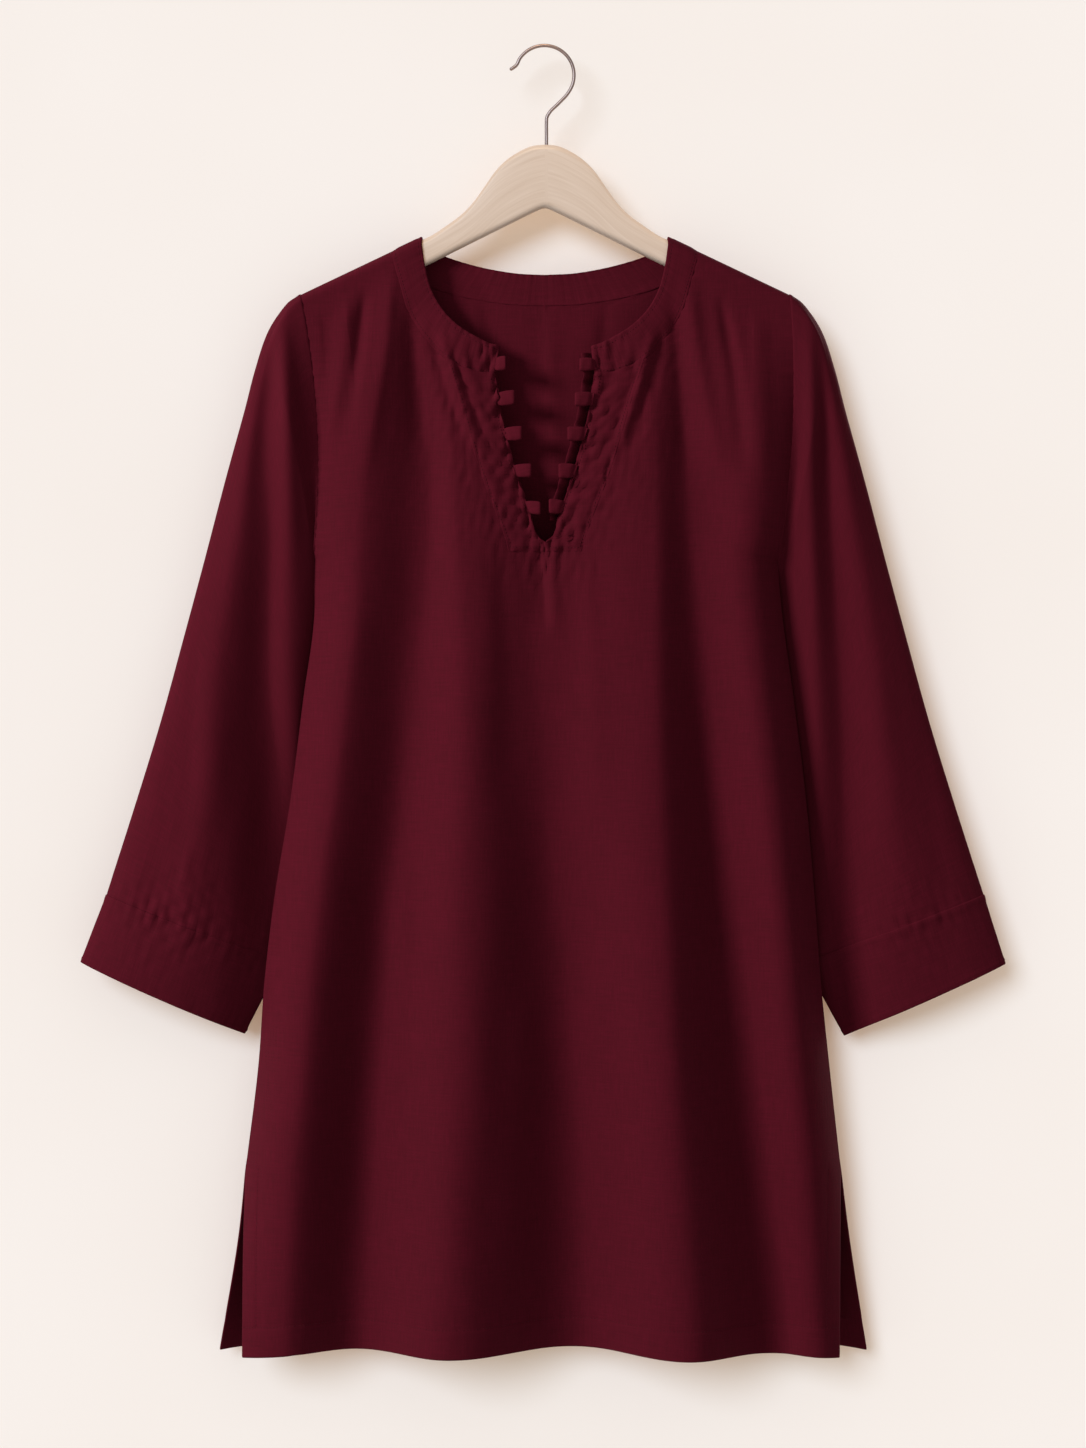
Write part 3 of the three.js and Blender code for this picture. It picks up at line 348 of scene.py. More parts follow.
BACK_CREASES = [
    (-122, -205, -138, -280, -156, -370, 3.0, 5, 10, 0.3),
    (-146, -228, -152, -280, -160, -340, -2.4, 5, 8, 0.0),
    (126, -205, 138, -270, 152, -360, 2.8, 5, 10, -0.3),
    (148, -230, 154, -290, 160, -350, -2.2, 5, 8, 0.0),
    (-60, -222, -52, -290, -46, -380, -1.4, 5, 9, 0.0),
    (52, -222, 48, -280, 44, -350, 1.2, 5, 9, 0.0),
    (4, -232, 8, -330, 14, -450, -1.6, 7, 12, 0.0),
    (30, -520, 36, -680, 40, -840, -2.4, 12, 18, 0.0),
    (-84, -600, -90, -760, -92, -900, 2.2, 12, 18, 0.0),
    (140, -700, 150, -840, 162, -980, 2.0, 10, 16, 0.0)]


def creases(x, z, rows, scale=1.0):
    """The sum of ridges across lines: height times exp of minus the square of the distance in half widths.

    A crease rises over the first seventh of its line and runs out over the last third."""
    return sum(crease(x, z, np.reshape(row[:6], (3, 2)), scale * row[6], row[7:9], row[9]) for row in rows)


def crease(x, z, line, height, widths, lean):
    """One ridge. A positive lean makes its right side the steeper one, and a negative lean its left."""
    share = (line[0, 1] - z) / (line[0, 1] - line[-1, 1])
    middle = np.interp(-z, -line[:, 1], line[:, 0])
    across = (x - middle) / lerp(*widths, np.clip(share, 0, 1))
    across = across * (1 + lean * np.tanh(across))
    run = smooth((share + 0.1) / 0.25) * smooth((1.15 - share) / 0.45)
    return height * run * np.exp(-across * across)


def fold_value(folds, x, z, column):
    """Reads depth (1) or hem lift (2) at points: half a cosine wave from each fold's line to the next."""
    at = np.interp(-z, -FOLD_HEIGHTS, np.arange(len(FOLD_HEIGHTS)))
    lines = [by_number(fold[0], at) for fold in folds]
    values = [by_number(fold[1], at) if column == 1 else np.full_like(x, fold[2]) for fold in folds]
    result = values[0]
    for k in range(1, len(folds)):
        share = np.clip((x - lines[k - 1]) / (lines[k] - lines[k - 1]), 0, 1)
        swung = lerp(values[k - 1], values[k], (1 - np.cos(np.pi * share)) / 2)
        result = np.where(x > lines[k - 1], swung, result)
    return result


def ridge_z(x):
    """Height of the shoulder line: straight from the neck point to the shoulder point."""
    slope = (SHOULDER_POINT[1] - NECK_POINT[1]) / (SHOULDER_POINT[0] - NECK_POINT[0])
    return NECK_POINT[1] + slope * (np.abs(x) - NECK_POINT[0])


def ridge_depth(drop):
    """A quarter circle: how far the cloth stands out at a drop below the shoulder line."""
    inside = 1 - np.clip(drop / RIDGE_RADIUS, 0, 1)
    return RIDGE_RADIUS * np.sqrt(1 - inside * inside)


def small_waves(x, z, seed):
    """Faint unevenness of hanging cloth: a few long waves whose lines lean a little from upright."""
    rng = np.random.default_rng(seed)
    total = np.zeros_like(x)
    for _ in range(9):
        length, lean, phase = rng.uniform(24, 70), rng.uniform(-0.12, 0.12), rng.uniform(0, 6.3)
        tall, shift = rng.uniform(150, 420), rng.uniform(0, 6.3)
        total += np.sin(2 * np.pi * (x + lean * z) / length + phase) * np.sin(2 * np.pi * z / tall + shift)
    return total / 3


def crumple(x, z, seed, size):
    """Short soft wrinkles: products of two sines whose waves cross at odd angles."""
    rng = np.random.default_rng(seed)
    total = 0
    for _ in range(6):
        waves = []
        for stretch in (1.0, 2.3):
            turn, length = rng.uniform(-0.9, 0.9), size * stretch * rng.uniform(0.75, 1.35)
            run = x * np.cos(turn) + z * np.sin(turn)
            waves.append(np.sin(2 * np.pi * run / length + rng.uniform(0, 6.3)))
        total = total + waves[0] * waves[1]
    return total / 2.4


def slit_edge(z):
    """Half width of the V's opening at a height."""
    points = np.array([V_TOP, *V_ROWS[:, :2]])
    return np.interp(-z, -points[:, 1], points[:, 0])


def fade(distance, width):
    """Falls from 1 to 0 away from a seam, as exp of minus the distance over the width."""
    return np.exp(-np.maximum(distance, 0) / width)


def soft_line(distance, middle, half_width):
    """1 on a line and 0 far from it: exp of minus the square of the distance in half widths."""
    return np.exp(-((distance - middle) / half_width) ** 2)


def slit_wrinkles(x, z):
    """How the tabs and their stitches draw the cloth beside the V: crumples all along it, and a ridge
    that runs out from each tab with a hollow below it."""
    beyond = np.abs(x) - slit_edge(z)
    near = fade(beyond, CRUMPLE_REACH) * smooth((-z - 232) / 26) * smooth((474 + z) / 30)
    wrinkles = (2.1 * crumple(x, z, 7, 11) + 1.7 * crumple(1.8 * x, 0.8 * z, 11, 12)) * near
    for k, (middle_z, *_) in enumerate(TABS):
        slant = 0.35 * np.sin(2.1 * k + 0.8 * np.sign(x)) * beyond
        ridge = soft_line(z - middle_z - slant, 0, 2.8)
        hollow = soft_line(z - middle_z + 15 + slant, 0, 4.2)
        wrinkles = wrinkles + (1.2 * ridge - 1.5 * hollow) * fade(beyond, TAB_RIDGE_REACH)
    return wrinkles


def panel(face, x, z, to_edge, edge_depth):
    """Points on the outside of the front (face -1) or back (face 1), as x, y and z."""
    folds, finer = (FRONT_FOLDS, FRONT_CREASES) if face < 0 else (BACK_FOLDS, BACK_CREASES)
    drop = ridge_z(x) - z
    swing = smooth((drop - RIDGE_RADIUS) / DRAPE_LENGTH)
    inner = ridge_depth(drop) + (fold_value(folds, x, z, 1) - RIDGE_RADIUS) * swing
    inner = inner + creases(x, z, finer) * smooth(drop / 25)
    inner = inner + 0.3 * small_waves(x, z, 5 + face) * smooth(drop / 60)
    if face < 0:
        inner = inner + slit_wrinkles(x, z)
    s = np.clip(to_edge / EDGE_ROUND, 0, 1)
    depth = lerp(edge_depth, inner, 1 - (1 - s) ** 2)
    lift = fold_value(folds, x, np.full_like(x, HEM_Z), 2)
    lift = lift * np.clip((HEM_Z + HEM_LIFT_HEIGHT - z) / HEM_LIFT_HEIGHT, 0, 1)
    return np.stack([x, face * (HALF_GAP + depth), z + lift * s], axis=-1)


# %% [markdown]
# ## From a surface to cloth
# Cloth has two faces and a thin edge. From an outside surface, its inner face is found by stepping in
# along the normals, and the two are joined by a rounded rim along every free edge. The thickness may
# change over a piece, which is how a hem or a turned edge gets its extra layers.


# %% Cloth shells
RIM_STEPS = 3
CLOTH_THICK, TURNING_THICK = 0.8, 0.9     # mm, one layer, and what a turned hem adds to it


def vertex_normals(points, quads):
    """Each point's normal: the sum of its faces' normals, from the cross product of their diagonals."""
    a, b, c, d = (points[quads[:, k]] for k in range(4))
    faces = np.cross(c - a, d - b)
    total = np.zeros_like(points)
    for k in range(4):
        np.add.at(total, quads[:, k], faces)
    return unit(total)


def free_edges(quads, count):
    """The directed edges that only one face has."""
    edges = np.concatenate([quads[:, [k, (k + 1) % 4]] for k in range(4)])
    key, back = edges[:, 0] * count + edges[:, 1], edges[:, 1] * count + edges[:, 0]
    return edges[~np.isin(key, back)]


def add_object(name, data):
    """Puts a mesh, light or camera into the scene."""
    made = bpy.data.objects.new(name, data)
    bpy.context.scene.collection.objects.link(made)
    return made


def mesh_object(name, points, faces, uv, material):
    """A smooth-shaded object of one material. uv has a row for each point, in metres on the cut."""
    mesh = bpy.data.meshes.new(name)
    mesh.from_pydata((points * MM).tolist(), [], faces.tolist())
    layer = mesh.uv_layers.new(name="cut")
    corners = np.empty(len(mesh.loops), np.int32)
    mesh.loops.foreach_get("vertex_index", corners)
    layer.data.foreach_set("uv", np.ascontiguousarray(uv[corners], np.float32).ravel())
    mesh.shade_smooth()
    mesh.materials.append(material)
    return add_object(name, mesh)


def cloth_shell(name, points, quads, uv, thickness, material, relief=None):
    """Cloth from its outside surface. relief moves the outside along its normal first.

    A rim point at angle t is half the thickness times (normal cos t + outward sin t) from the middle."""
    normals = vertex_normals(points, quads)
    if relief is not None:
        points = points + normals * relief[:, None]
        normals = vertex_normals(points, quads)
    count = len(points)
    thickness = np.broadcast_to(np.asarray(thickness, float), (count,))[:, None]
    edges = free_edges(quads, count)
    outward = unit(np.cross(points[edges[:, 1]] - points[edges[:, 0]], normals[edges[:, 0]]))
    total = np.zeros_like(points)
    for k in range(2):
        np.add.at(total, edges[:, k], outward)
    border = np.unique(edges)
    out = unit(total[border])
    number = np.zeros(count, int)
    number[border] = np.arange(len(border))
    centre = points[border] - normals[border] * thickness[border] / 2
    rings, layers = [border], [points, points - normals * thickness]
    for k in range(1, RIM_STEPS + 1):
        angle = math.pi * k / (RIM_STEPS + 1)
        step = normals[border] * math.cos(angle) + out * math.sin(angle)
        layers.append(centre + step * thickness[border] / 2)
        rings.append(2 * count + (k - 1) * len(border) + np.arange(len(border)))
    rings.append(border + count)
    a, b = number[edges[:, 0]], number[edges[:, 1]]
    rim = [np.stack([p[b], p[a], q[a], q[b]], axis=1) for p, q in zip(rings, rings[1:])]
    faces = np.concatenate([quads, quads[:, ::-1] + count, *rim])
    every_uv = np.concatenate([uv, uv] + [uv[border]] * RIM_STEPS)
    return mesh_object(name + "_cloth", np.concatenate(layers), faces, every_uv, material), points, normals


def grid_quads(numbers, closed=False):
    """Quads between neighbouring rows and columns of a grid of points, or of their numbers."""
    if numbers.ndim == 3:
        numbers = np.arange(numbers[..., 0].size).reshape(numbers.shape[:2])
    if closed:
        numbers = np.hstack([numbers, numbers[:, :1]])
    a, b, c, d = numbers[:-1, :-1], numbers[:-1, 1:], numbers[1:, 1:], numbers[1:, :-1]
    return np.stack([a, b, c, d], axis=-1).reshape(-1, 4)


def cloth_grid(name, points, uv, thickness, relief, turned, closed=False):
    """Cloth from a grid of points. Gives the object, and its outside's points and normals as grids."""
    quads = grid_quads(points, closed)[:, ::-1 if turned else 1]
    made, surface, normals = cloth_shell(name, points.reshape(-1, 3), quads, uv.reshape(-1, 2),
                                         (thickness + 0 * relief).ravel(), CLOTH_RED, relief.ravel())
    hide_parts(name)
    return made, surface.reshape(points.shape), normals.reshape(points.shape)


def rod(name, replaced, points, uv, material, turned=False):
    """A solid from rings of points, with both ends closed by quads across the first and the last ring."""
    numbers = np.arange(points[..., 0].size).reshape(points.shape[:2])
    k = np.arange(numbers.shape[1] // 2 - 1)
    caps = [np.stack([ring[k], ring[k + 1], ring[-2 - k], ring[-1 - k]], axis=1)[:, ::turn]
            for ring, turn in ((numbers[0], 1), (numbers[-1], -1))]
    quads = np.concatenate([grid_quads(numbers, closed=True), *caps])[:, ::-1 if turned else 1]
    made = mesh_object(name, points.reshape(-1, 3), quads, uv.reshape(-1, 2), material)
    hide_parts(replaced)
    return made


def used_only(quads, *columns):
    """Leaves out points that no face uses. Also gives each old point's new number."""
    used, renumbered = np.unique(quads, return_inverse=True)
    numbers = np.full(quads.max() + 1, -1)
    numbers[used] = np.arange(len(used))
    return numbers, renumbered.reshape(-1, 4), *(values[used] for values in columns)


def arc_uv(points, start=(0.0, 0.0)):
    """Lays a grid of points flat: lengths along the middle row and down the middle column, in metres."""
    across = np.linalg.norm(np.diff(points, axis=1), axis=2)
    down = np.linalg.norm(np.diff(points, axis=0), axis=2)
    u = np.hstack([np.zeros((len(points), 1)), np.cumsum(across, axis=1)])
    middle = down[:, points.shape[1] // 2]
    v = np.r_[0, np.cumsum(middle)][:, None] + np.zeros_like(u)
    return np.stack([u + start[0], v + start[1]], axis=-1) * MM


# %% [markdown]
# ## Front and back
# Each panel is laid out in rows from the shoulder to the hem. A row runs straight from the neck, the V
# slit or the middle line out to the armhole, the side seam or the side slit. Rows and columns crowd
# together where a hem is turned, so that the fold's edge and its stitch line have room to show.

# %% Rows down a panel
TURN = np.radians(np.linspace(0, 90, 7))
LOWER_ROWS = 92                       # from the underarm down to where the hem's own rows start
HEM_STEPS = np.array([                # heights of the hem's rows above its edge
    60, 52, 45, 39, 34.5, 31, 28.5, 26.8, 25.8, 24.8, 23.6, 21.5, 17, 12, 7.5, 3.5, 1.2, 0])
EDGE_STEPS = np.array([0, 0.8, 2.4, 5.5, 9, 10.8, 11.8, 12.8, 14.5, 18, 23, 29, 36])
SEAM_STEPS = np.array([0, 0.8, 2.2, 4.2, 7, 10])
HEM_TURN, SLIT_TURN = 25.2, 11.8      # widths of the turned hem and of the turned slit edge


def armhole(drop, side):
    """x and z of the armhole: straight from shoulder to underarm, bowed in by 4 q (1 - q)."""
    q = drop / (SHOULDER_POINT[1] - UNDERARM[1])
    x = lerp(SHOULDER_POINT[0], UNDERARM[0], q) - ARMHOLE_BOW[side] * 4 * q * (1 - q)
    return np.stack([x, SHOULDER_POINT[1] - drop], axis=-1)


def armhole_depth(drop):
    """How far the armhole stands out: round over the shoulder first, then as its table."""
    return np.where(drop < RIDGE_RADIUS, ridge_depth(drop), table_curve(ARMHOLE[:, 0], ARMHOLE[:, 1], drop))


def seam_and_slit(face, side, z):
    """The outer edge below the underarm: its place and how far it stands out."""
    column = 1 if side < 0 else 2
    slit = FRONT_SLIT_EDGE if face < 0 else BACK_SLIT_EDGE
    x = np.where(z > SLIT_TOP_Z, by_height(SIDE_SEAM, column, z), by_height(slit, column, z))
    depth = np.where(z > SLIT_TOP_Z, 0, by_height(slit, 3, z))
    return np.stack([x, z], axis=-1), depth


def around_arm(x):
    """The first points of a line at x: round the hanger's arm, a quarter circle down from the shoulder."""
    drops = RIDGE_RADIUS * (1 - np.cos(TURN))
    return np.stack([np.full_like(drops, x), ridge_z(x) - drops], axis=-1)


def panel_rows(face, side):
    """Inner points, outer points, outer depth, the neck's last row, and the middle line's first row."""
    turn_in = around_arm(NECK_POINT[0] + BAND_WIDTH)
    band, rows, more_rows, level = (FRONT_BAND, 52, 50, 120) if face < 0 else (BACK_BAND, 56, 46, 90)
    neck = along([turn_in[-1], *band[:, :2]], np.linspace(0, 1, rows)[1:])
    if face < 0:
        middle = along(V_ROWS[:, :2], np.linspace(0, 1, more_rows)[1:])
    else:
        upright = np.linspace(BACK_BAND[-1, 1], V_ROWS[-1, 1], more_rows)[1:]
        middle = np.stack([0 * upright, upright], axis=-1)
    drops, underarm = RIDGE_RADIUS * (1 - np.cos(TURN)), ARMHOLE[-1, 0]
    drop = np.r_[drops, np.linspace(drops[-1], level, rows)[1:], np.linspace(level, underarm, more_rows)[1:]]
    hem_top = HEM_Z + HEM_STEPS[0] + 6
    inner_z, outer_z = (np.r_[np.linspace(start, hem_top, LOWER_ROWS)[1:], HEM_Z + HEM_STEPS]
                        for start in (V_ROWS[-1, 1], UNDERARM[1]))
    inner = np.concatenate([turn_in, neck, middle, np.stack([0 * inner_z, inner_z], axis=-1)])
    lower, lower_depth = seam_and_slit(face, side, outer_z)
    outer = np.concatenate([armhole(drop, side), lower])
    neck_end = len(turn_in) + len(neck) - 1
    joined = len(drop) - 1 if face < 0 else neck_end
    return inner, outer, np.r_[armhole_depth(drop), lower_depth], neck_end, joined


def column_shares(width, count):
    """Shares of the way along each row: fixed steps beside both ends, even ones between."""
    width = width[:, None]
    first, last = SEAM_STEPS / width, 1 - EDGE_STEPS[::-1] / width
    even = np.linspace(0, 1, count + 2)[1:-1]
    return np.hstack([first, lerp(first[:, -1:], last[:, :1], even), last])


def pucker(length, seed, pitch):
    """Uneven little waves along a seam, drawn up by its stitches: three sines of wandering pitch."""
    rng = np.random.default_rng(seed)
    total = 0
    for stretch, weight in ((1.0, 1.0), (1.57, 0.6), (0.61, 0.7)):
        bend = 0.25 * pitch * np.sin(length / (pitch * rng.uniform(3, 7)) + rng.uniform(0, 6))
        total = total + weight * np.sin(2 * np.pi * (length + bend) / (pitch * stretch) + rng.uniform(0, 6))
    return total / 1.6


def turned_edge(distance, width, height, groove):
    """A turned hem: the doubled strip stands out by height, and its stitch line is drawn in by groove."""
    return height * smooth((width + 1.2 - distance) / 2.4) - groove * soft_line(distance, width, 1.3)


def make_panel(name, face, columns=60):
    """A whole panel of two halves that share the middle line below the neck or the V."""
    points, grids, distances = [], [], []
    for side in (-1, 1):
        inner, outer, edge_depth, neck_end, joined = panel_rows(face, side)
        width = np.linalg.norm(outer - inner, axis=1)
        share = column_shares(width, columns)
        place = lerp(inner[:, None], outer[:, None], share[..., None])
        to_edge = width[:, None] * (1 - share)
        points.append(panel(face, side * place[..., 0], place[..., 1], to_edge, edge_depth[:, None]))
        distances.append((to_edge, width[:, None] * share, place))
        grids.append(np.arange(share.size).reshape(share.shape) + sum(grid.size for grid in grids))
    grids[1][joined:, 0] = grids[0][joined:, 0]
    turned = [grid_quads(grid)[:, ::order] for grid, order in zip(grids, (1, -1))]
    quads = np.concatenate(turned if face < 0 else [part[:, ::-1] for part in turned])
    relief, thick, uv = [], [], []
    for side, (to_edge, to_seam, place) in zip((-1, 1), distances):
        x, z = side * place[..., 0], place[..., 1]
        from_hem = z - HEM_Z
        in_slit = smooth((SLIT_TOP_Z + 6 - z) / 10)
        hem = turned_edge(from_hem, HEM_TURN, 0.5, 0.5)
        slit = turned_edge(to_edge, SLIT_TURN, 0.45, 0.4) * in_slit
        drawn = 0.28 * pucker(x, 3 + face, 9) * np.exp(-np.abs(from_hem - HEM_TURN) / 9)
        row = np.arange(len(z))[:, None]
        by_neck = (row <= neck_end) & (row > 6)
        length = -z + np.abs(x) * 0.6
        neck = by_neck * (0.42 * pucker(length, 11 + face, 8) * fade(to_seam, 8) - 0.5 * fade(to_seam, 1.6))
        arm = np.where(z > UNDERARM[1], 0.35 * pucker(z, 21 + face, 10) * fade(to_edge, 10), 0)
        relief.append((np.maximum(hem, slit) + drawn + neck + arm) * smooth(row / 8))
        in_hem, in_turning = smooth((HEM_TURN + 1 - from_hem) / 2), smooth((SLIT_TURN + 1 - to_edge) / 2)
        thick.append(CLOTH_THICK + TURNING_THICK * np.maximum(in_hem, in_slit * in_turning))
        uv.append(np.stack([x, z], axis=-1) * MM)
    flat = [np.concatenate([part.reshape(-1, *part.shape[2:]) for part in parts])
            for parts in (points, uv, relief, thick)]
    numbers, quads, shape, flat_uv, flat_relief, flat_thick = used_only(quads, *flat)
    made, surface, normals = cloth_shell(name, shape, quads, flat_uv, flat_thick, CLOTH_RED, flat_relief)
    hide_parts(name)
    print(name, len(made.data.polygons) * 2, "triangles")
    return made, [(surface[numbers[grid]], normals[numbers[grid]]) for grid in grids]


FRONT, front_grids = make_panel("front", -1)
BACK, back_grids = make_panel("back", 1)

# %% [markdown]
# ## Neckbands and plackets
# The band is a doubled strip of cloth, so it is a little thicker than the panel and its free edge is a
# soft fold. A placket is a strip laid on the front beside the V, with its edges turned under. Both are
# topstitched close to their edges, and the stitches draw the cloth into faint puckers.


# %% Bands round the neck
BAND_THICK = 1.5
BAND_OVERLAP = 0.8                    # how far a band starts over the panel's edge
BAND_PROUD = (0.12, 0.8)              # how far it stands out at its seam, and across its width


def band_lines(table, count):
    """Seam and free edge of a band on one side: round the arm first, then smoothly down its table."""
    lines = []
    for start, points in ((NECK_POINT[0] + BAND_WIDTH, table[:, :2]), (NECK_POINT[0], table[:, 2:])):
        turn = around_arm(start)
        down = along([turn[-1], *points], np.linspace(0, 1, count)[1:])
        lines.append(np.concatenate([turn, down]))
    return lines


BAND_ACROSS = np.array([0.0, 0.03, 0.09, 0.2, 0.34, 0.5, 0.66, 0.8, 0.88, 0.94, 0.98, 1.0])


def band_points(face, side, seam, edge):
    """Rows of a band from just over the panel's edge to its free edge."""
    length = np.linalg.norm(edge - seam, axis=1)[:, None]
    share = lerp(-BAND_OVERLAP / length, 1, BAND_ACROSS)
    place = lerp(seam[:, None], edge[:, None], share[..., None])
    far = np.full_like(share, EDGE_ROUND)
    return panel(face, side * place[..., 0], place[..., 1], far, 0), length * share, length * (1 - share)


def band_relief(points, to_seam, to_edge, seed):
    """The doubled cloth stands out, rounds off at both edges, and puckers along its stitches."""
    length = lengths(points[:, 6])[:, None]
    rise = smooth((to_seam + BAND_OVERLAP) / 5)
    stitched = 0.45 * soft_line(to_edge, 2.6, 0.9) + 0.16 * soft_line(to_seam, 2.4, 0.9)
    waves = 0.42 * pucker(length, seed, 7) * (fade(to_edge, 5) + 0.8 * fade(to_seam, 7) * rise)
    start = smooth(np.arange(len(points))[:, None] / 10)
    return lerp(*BAND_PROUD, rise) - stitched - 0.5 * fade(to_edge, 0.8) + waves * start


def make_band(name, face, halves, seed):
    """A band from one half, or from two that meet in the middle."""
    lines = band_lines(FRONT_BAND if face < 0 else BACK_BAND, 70)
    parts = [band_points(face, side, *lines) for side in halves]
    if len(parts) == 2:
        parts = [tuple(np.concatenate([a, b[-2::-1]]) for a, b in zip(*parts))]
    points, to_seam, to_edge = parts[0]
    relief = band_relief(points, to_seam, to_edge, seed)
    uv = arc_uv(points, (0.3 * seed, 0))
    return cloth_grid(name, points, uv, BAND_THICK, relief, halves[0] * face > 0)


BAND_LEFT, *band_left = make_band("neckband_front_left", -1, [-1], 31)
BAND_RIGHT, *band_right = make_band("neckband_front_right", -1, [1], 33)
BAND_BACK, *band_back = make_band("neckband_back", 1, [-1, 1], 35)
print("neckbands:", [round(piece.dimensions.x, 3) for piece in (BAND_LEFT, BAND_RIGHT, BAND_BACK)])

# %% Plackets beside the V
PLACKET_DOWN = np.r_[np.linspace(0, 1, 74), 1.02, 1.035, 1.048, 1.056]    # over 1: the square end below the V
PLACKET_ACROSS = np.array([           # shares of the width, from the slit's edge out to the seam
    0, 0.012, 0.035, 0.07, 0.11, 0.17, 0.26, 0.36, 0.46,
    0.56, 0.66, 0.76, 0.84, 0.89, 0.93, 0.965, 0.988, 1])
PLACKET_END_X = 31
PLACKET_THICK, PLACKET_EDGE_THICK, FACING_THICK = 1.1, 0.5, 0.7
PLACKET_PROUD = (0.14, 1.35)          # how far it stands out at its outer edges, and across its width
FACING_TOP_Z, FACING_BOTTOM_Z = -264, -407


def make_placket(name, side, seed):
    """A strip from the slit's edge out to its seam, on the front's own form and a little proud of it."""
    rows = np.clip(PLACKET_DOWN, 0, 1)
    slit, seam = along(V_ROWS[:, :2], rows), along(V_ROWS[:, 2:], rows)
    below = np.clip((PLACKET_DOWN - 1) / (PLACKET_DOWN[-1] - 1), 0, 1)[:, None]
    slit = lerp(slit, np.array([0, PLACKET_BOTTOM_Z]), below)
    seam = lerp(seam, np.array([PLACKET_END_X, PLACKET_BOTTOM_Z]), below)
    place = lerp(slit[:, None], seam[:, None], PLACKET_ACROSS[None, :, None])
    curve = along(FRONT_BAND[:2:-1, :2], PLACKET_ACROSS)
    bowed = curve - lerp(curve[0], curve[-1], PLACKET_ACROSS[:, None])
    place = place + bowed[None] * (1 - smooth(PLACKET_DOWN / 0.25))[:, None, None]
    place[..., 0] = np.maximum(place[..., 0], 0.2)
    far = np.full(place.shape[:2], EDGE_ROUND)
    points = panel(-1, side * place[..., 0], place[..., 1], far, 0)
    width = np.linalg.norm(seam - slit, axis=1)[:, None]
    to_slit, to_seam = width * PLACKET_ACROSS, width * (1 - PLACKET_ACROSS)
    length = lengths(slit)[:, None]
    to_ends = np.minimum(length, length[-1] - length)
    edge = np.minimum(np.minimum(to_slit, to_seam), to_ends)
    thick = PLACKET_EDGE_THICK + (PLACKET_THICK - PLACKET_EDGE_THICK) * smooth(edge / 4.5)
    rise = smooth((np.minimum(to_seam, length[-1] - length) + 0.5) / 7)
    relief = lerp(*PLACKET_PROUD, rise) + 0.35 * pucker(length, seed, 8) * fade(to_slit, 6) * rise
    relief = relief + 0.3 * pucker(length, seed + 1, 9) * fade(to_seam, 8) * rise
    relief = relief - 0.16 * soft_line(to_seam, 3.4, 1.1) - 0.2 * soft_line(to_slit, 2.2, 0.9)
    return cloth_grid(name, points, place * MM, thick, np.maximum(relief, PLACKET_PROUD[0]), side > 0)


def make_facing(name):
    """The right slit's inner layer: it stands behind the tabs and rolls forward towards its free edge."""
    z = np.linspace(FACING_TOP_Z, FACING_BOTTOM_Z, 96)[:, None]
    edge = slit_edge(z)
    across = np.array([0, 0.12, 0.25, 0.38, 0.5, 0.62, 0.74, 0.84, 0.92, 1.0])[None]
    width = 3 + np.minimum(9.5, edge - 4.5) + 0.35 * pucker(z, 61, 12)
    x = edge + 3 - width * across
    surface = panel(-1, edge, z, np.full_like(edge, EDGE_ROUND), 0)[..., 1]
    y = surface + 8.0 - 6.2 * smooth(across) ** 1.2 + 0.3 * pucker(z, 62, 15) * across
    points = np.stack([x, y, z + 0 * x], axis=-1)
    uv = points[..., [0, 2]] * MM
    return cloth_shell(name, points.reshape(-1, 3), grid_quads(points)[:, ::-1], uv.reshape(-1, 2),
                       FACING_THICK, CLOTH_RED)[0]


PLACKETS = {side: make_placket(f"placket_{word}", side, 41 + side) for side, word in SIDES.items()}
FACING = make_facing("slit_facing")
print("plackets:", [round(PLACKETS[side][0].dimensions.z, 3) for side in (-1, 1)])

# %% [markdown]
# ## Tabs in the V
# Five short tabs on each side are sewn in under the placket's edge. Each is a scrap of the same cloth,
# folded into a loop and filled by its own turnings, so it is plump with a soft square outline.

# %% Cloth tabs
TAB_SIDES, TAB_HEIGHT, TAB_THICK = 24, 12.2, 5.6
TAB_TIPPED = {-1: 3.4, 1: 0.6}        # how far a tab's free end stands out over its root
TAB_RINGS = np.array([                # shares of the length, of the full height and of the thickness
    (-0.17, 0.78, 0.16), (-0.08, 0.82, 0.24), (0.0, 0.87, 0.42), (0.06, 0.9, 0.66), (0.14, 0.94, 0.86),
    (0.28, 0.97, 0.97), (0.45, 1.0, 1.0), (0.62, 1.0, 1.0), (0.76, 0.99, 1.0), (0.87, 0.97, 0.94),
    (0.94, 0.93, 0.82), (0.985, 0.86, 0.6), (1.0, 0.74, 0.34)])


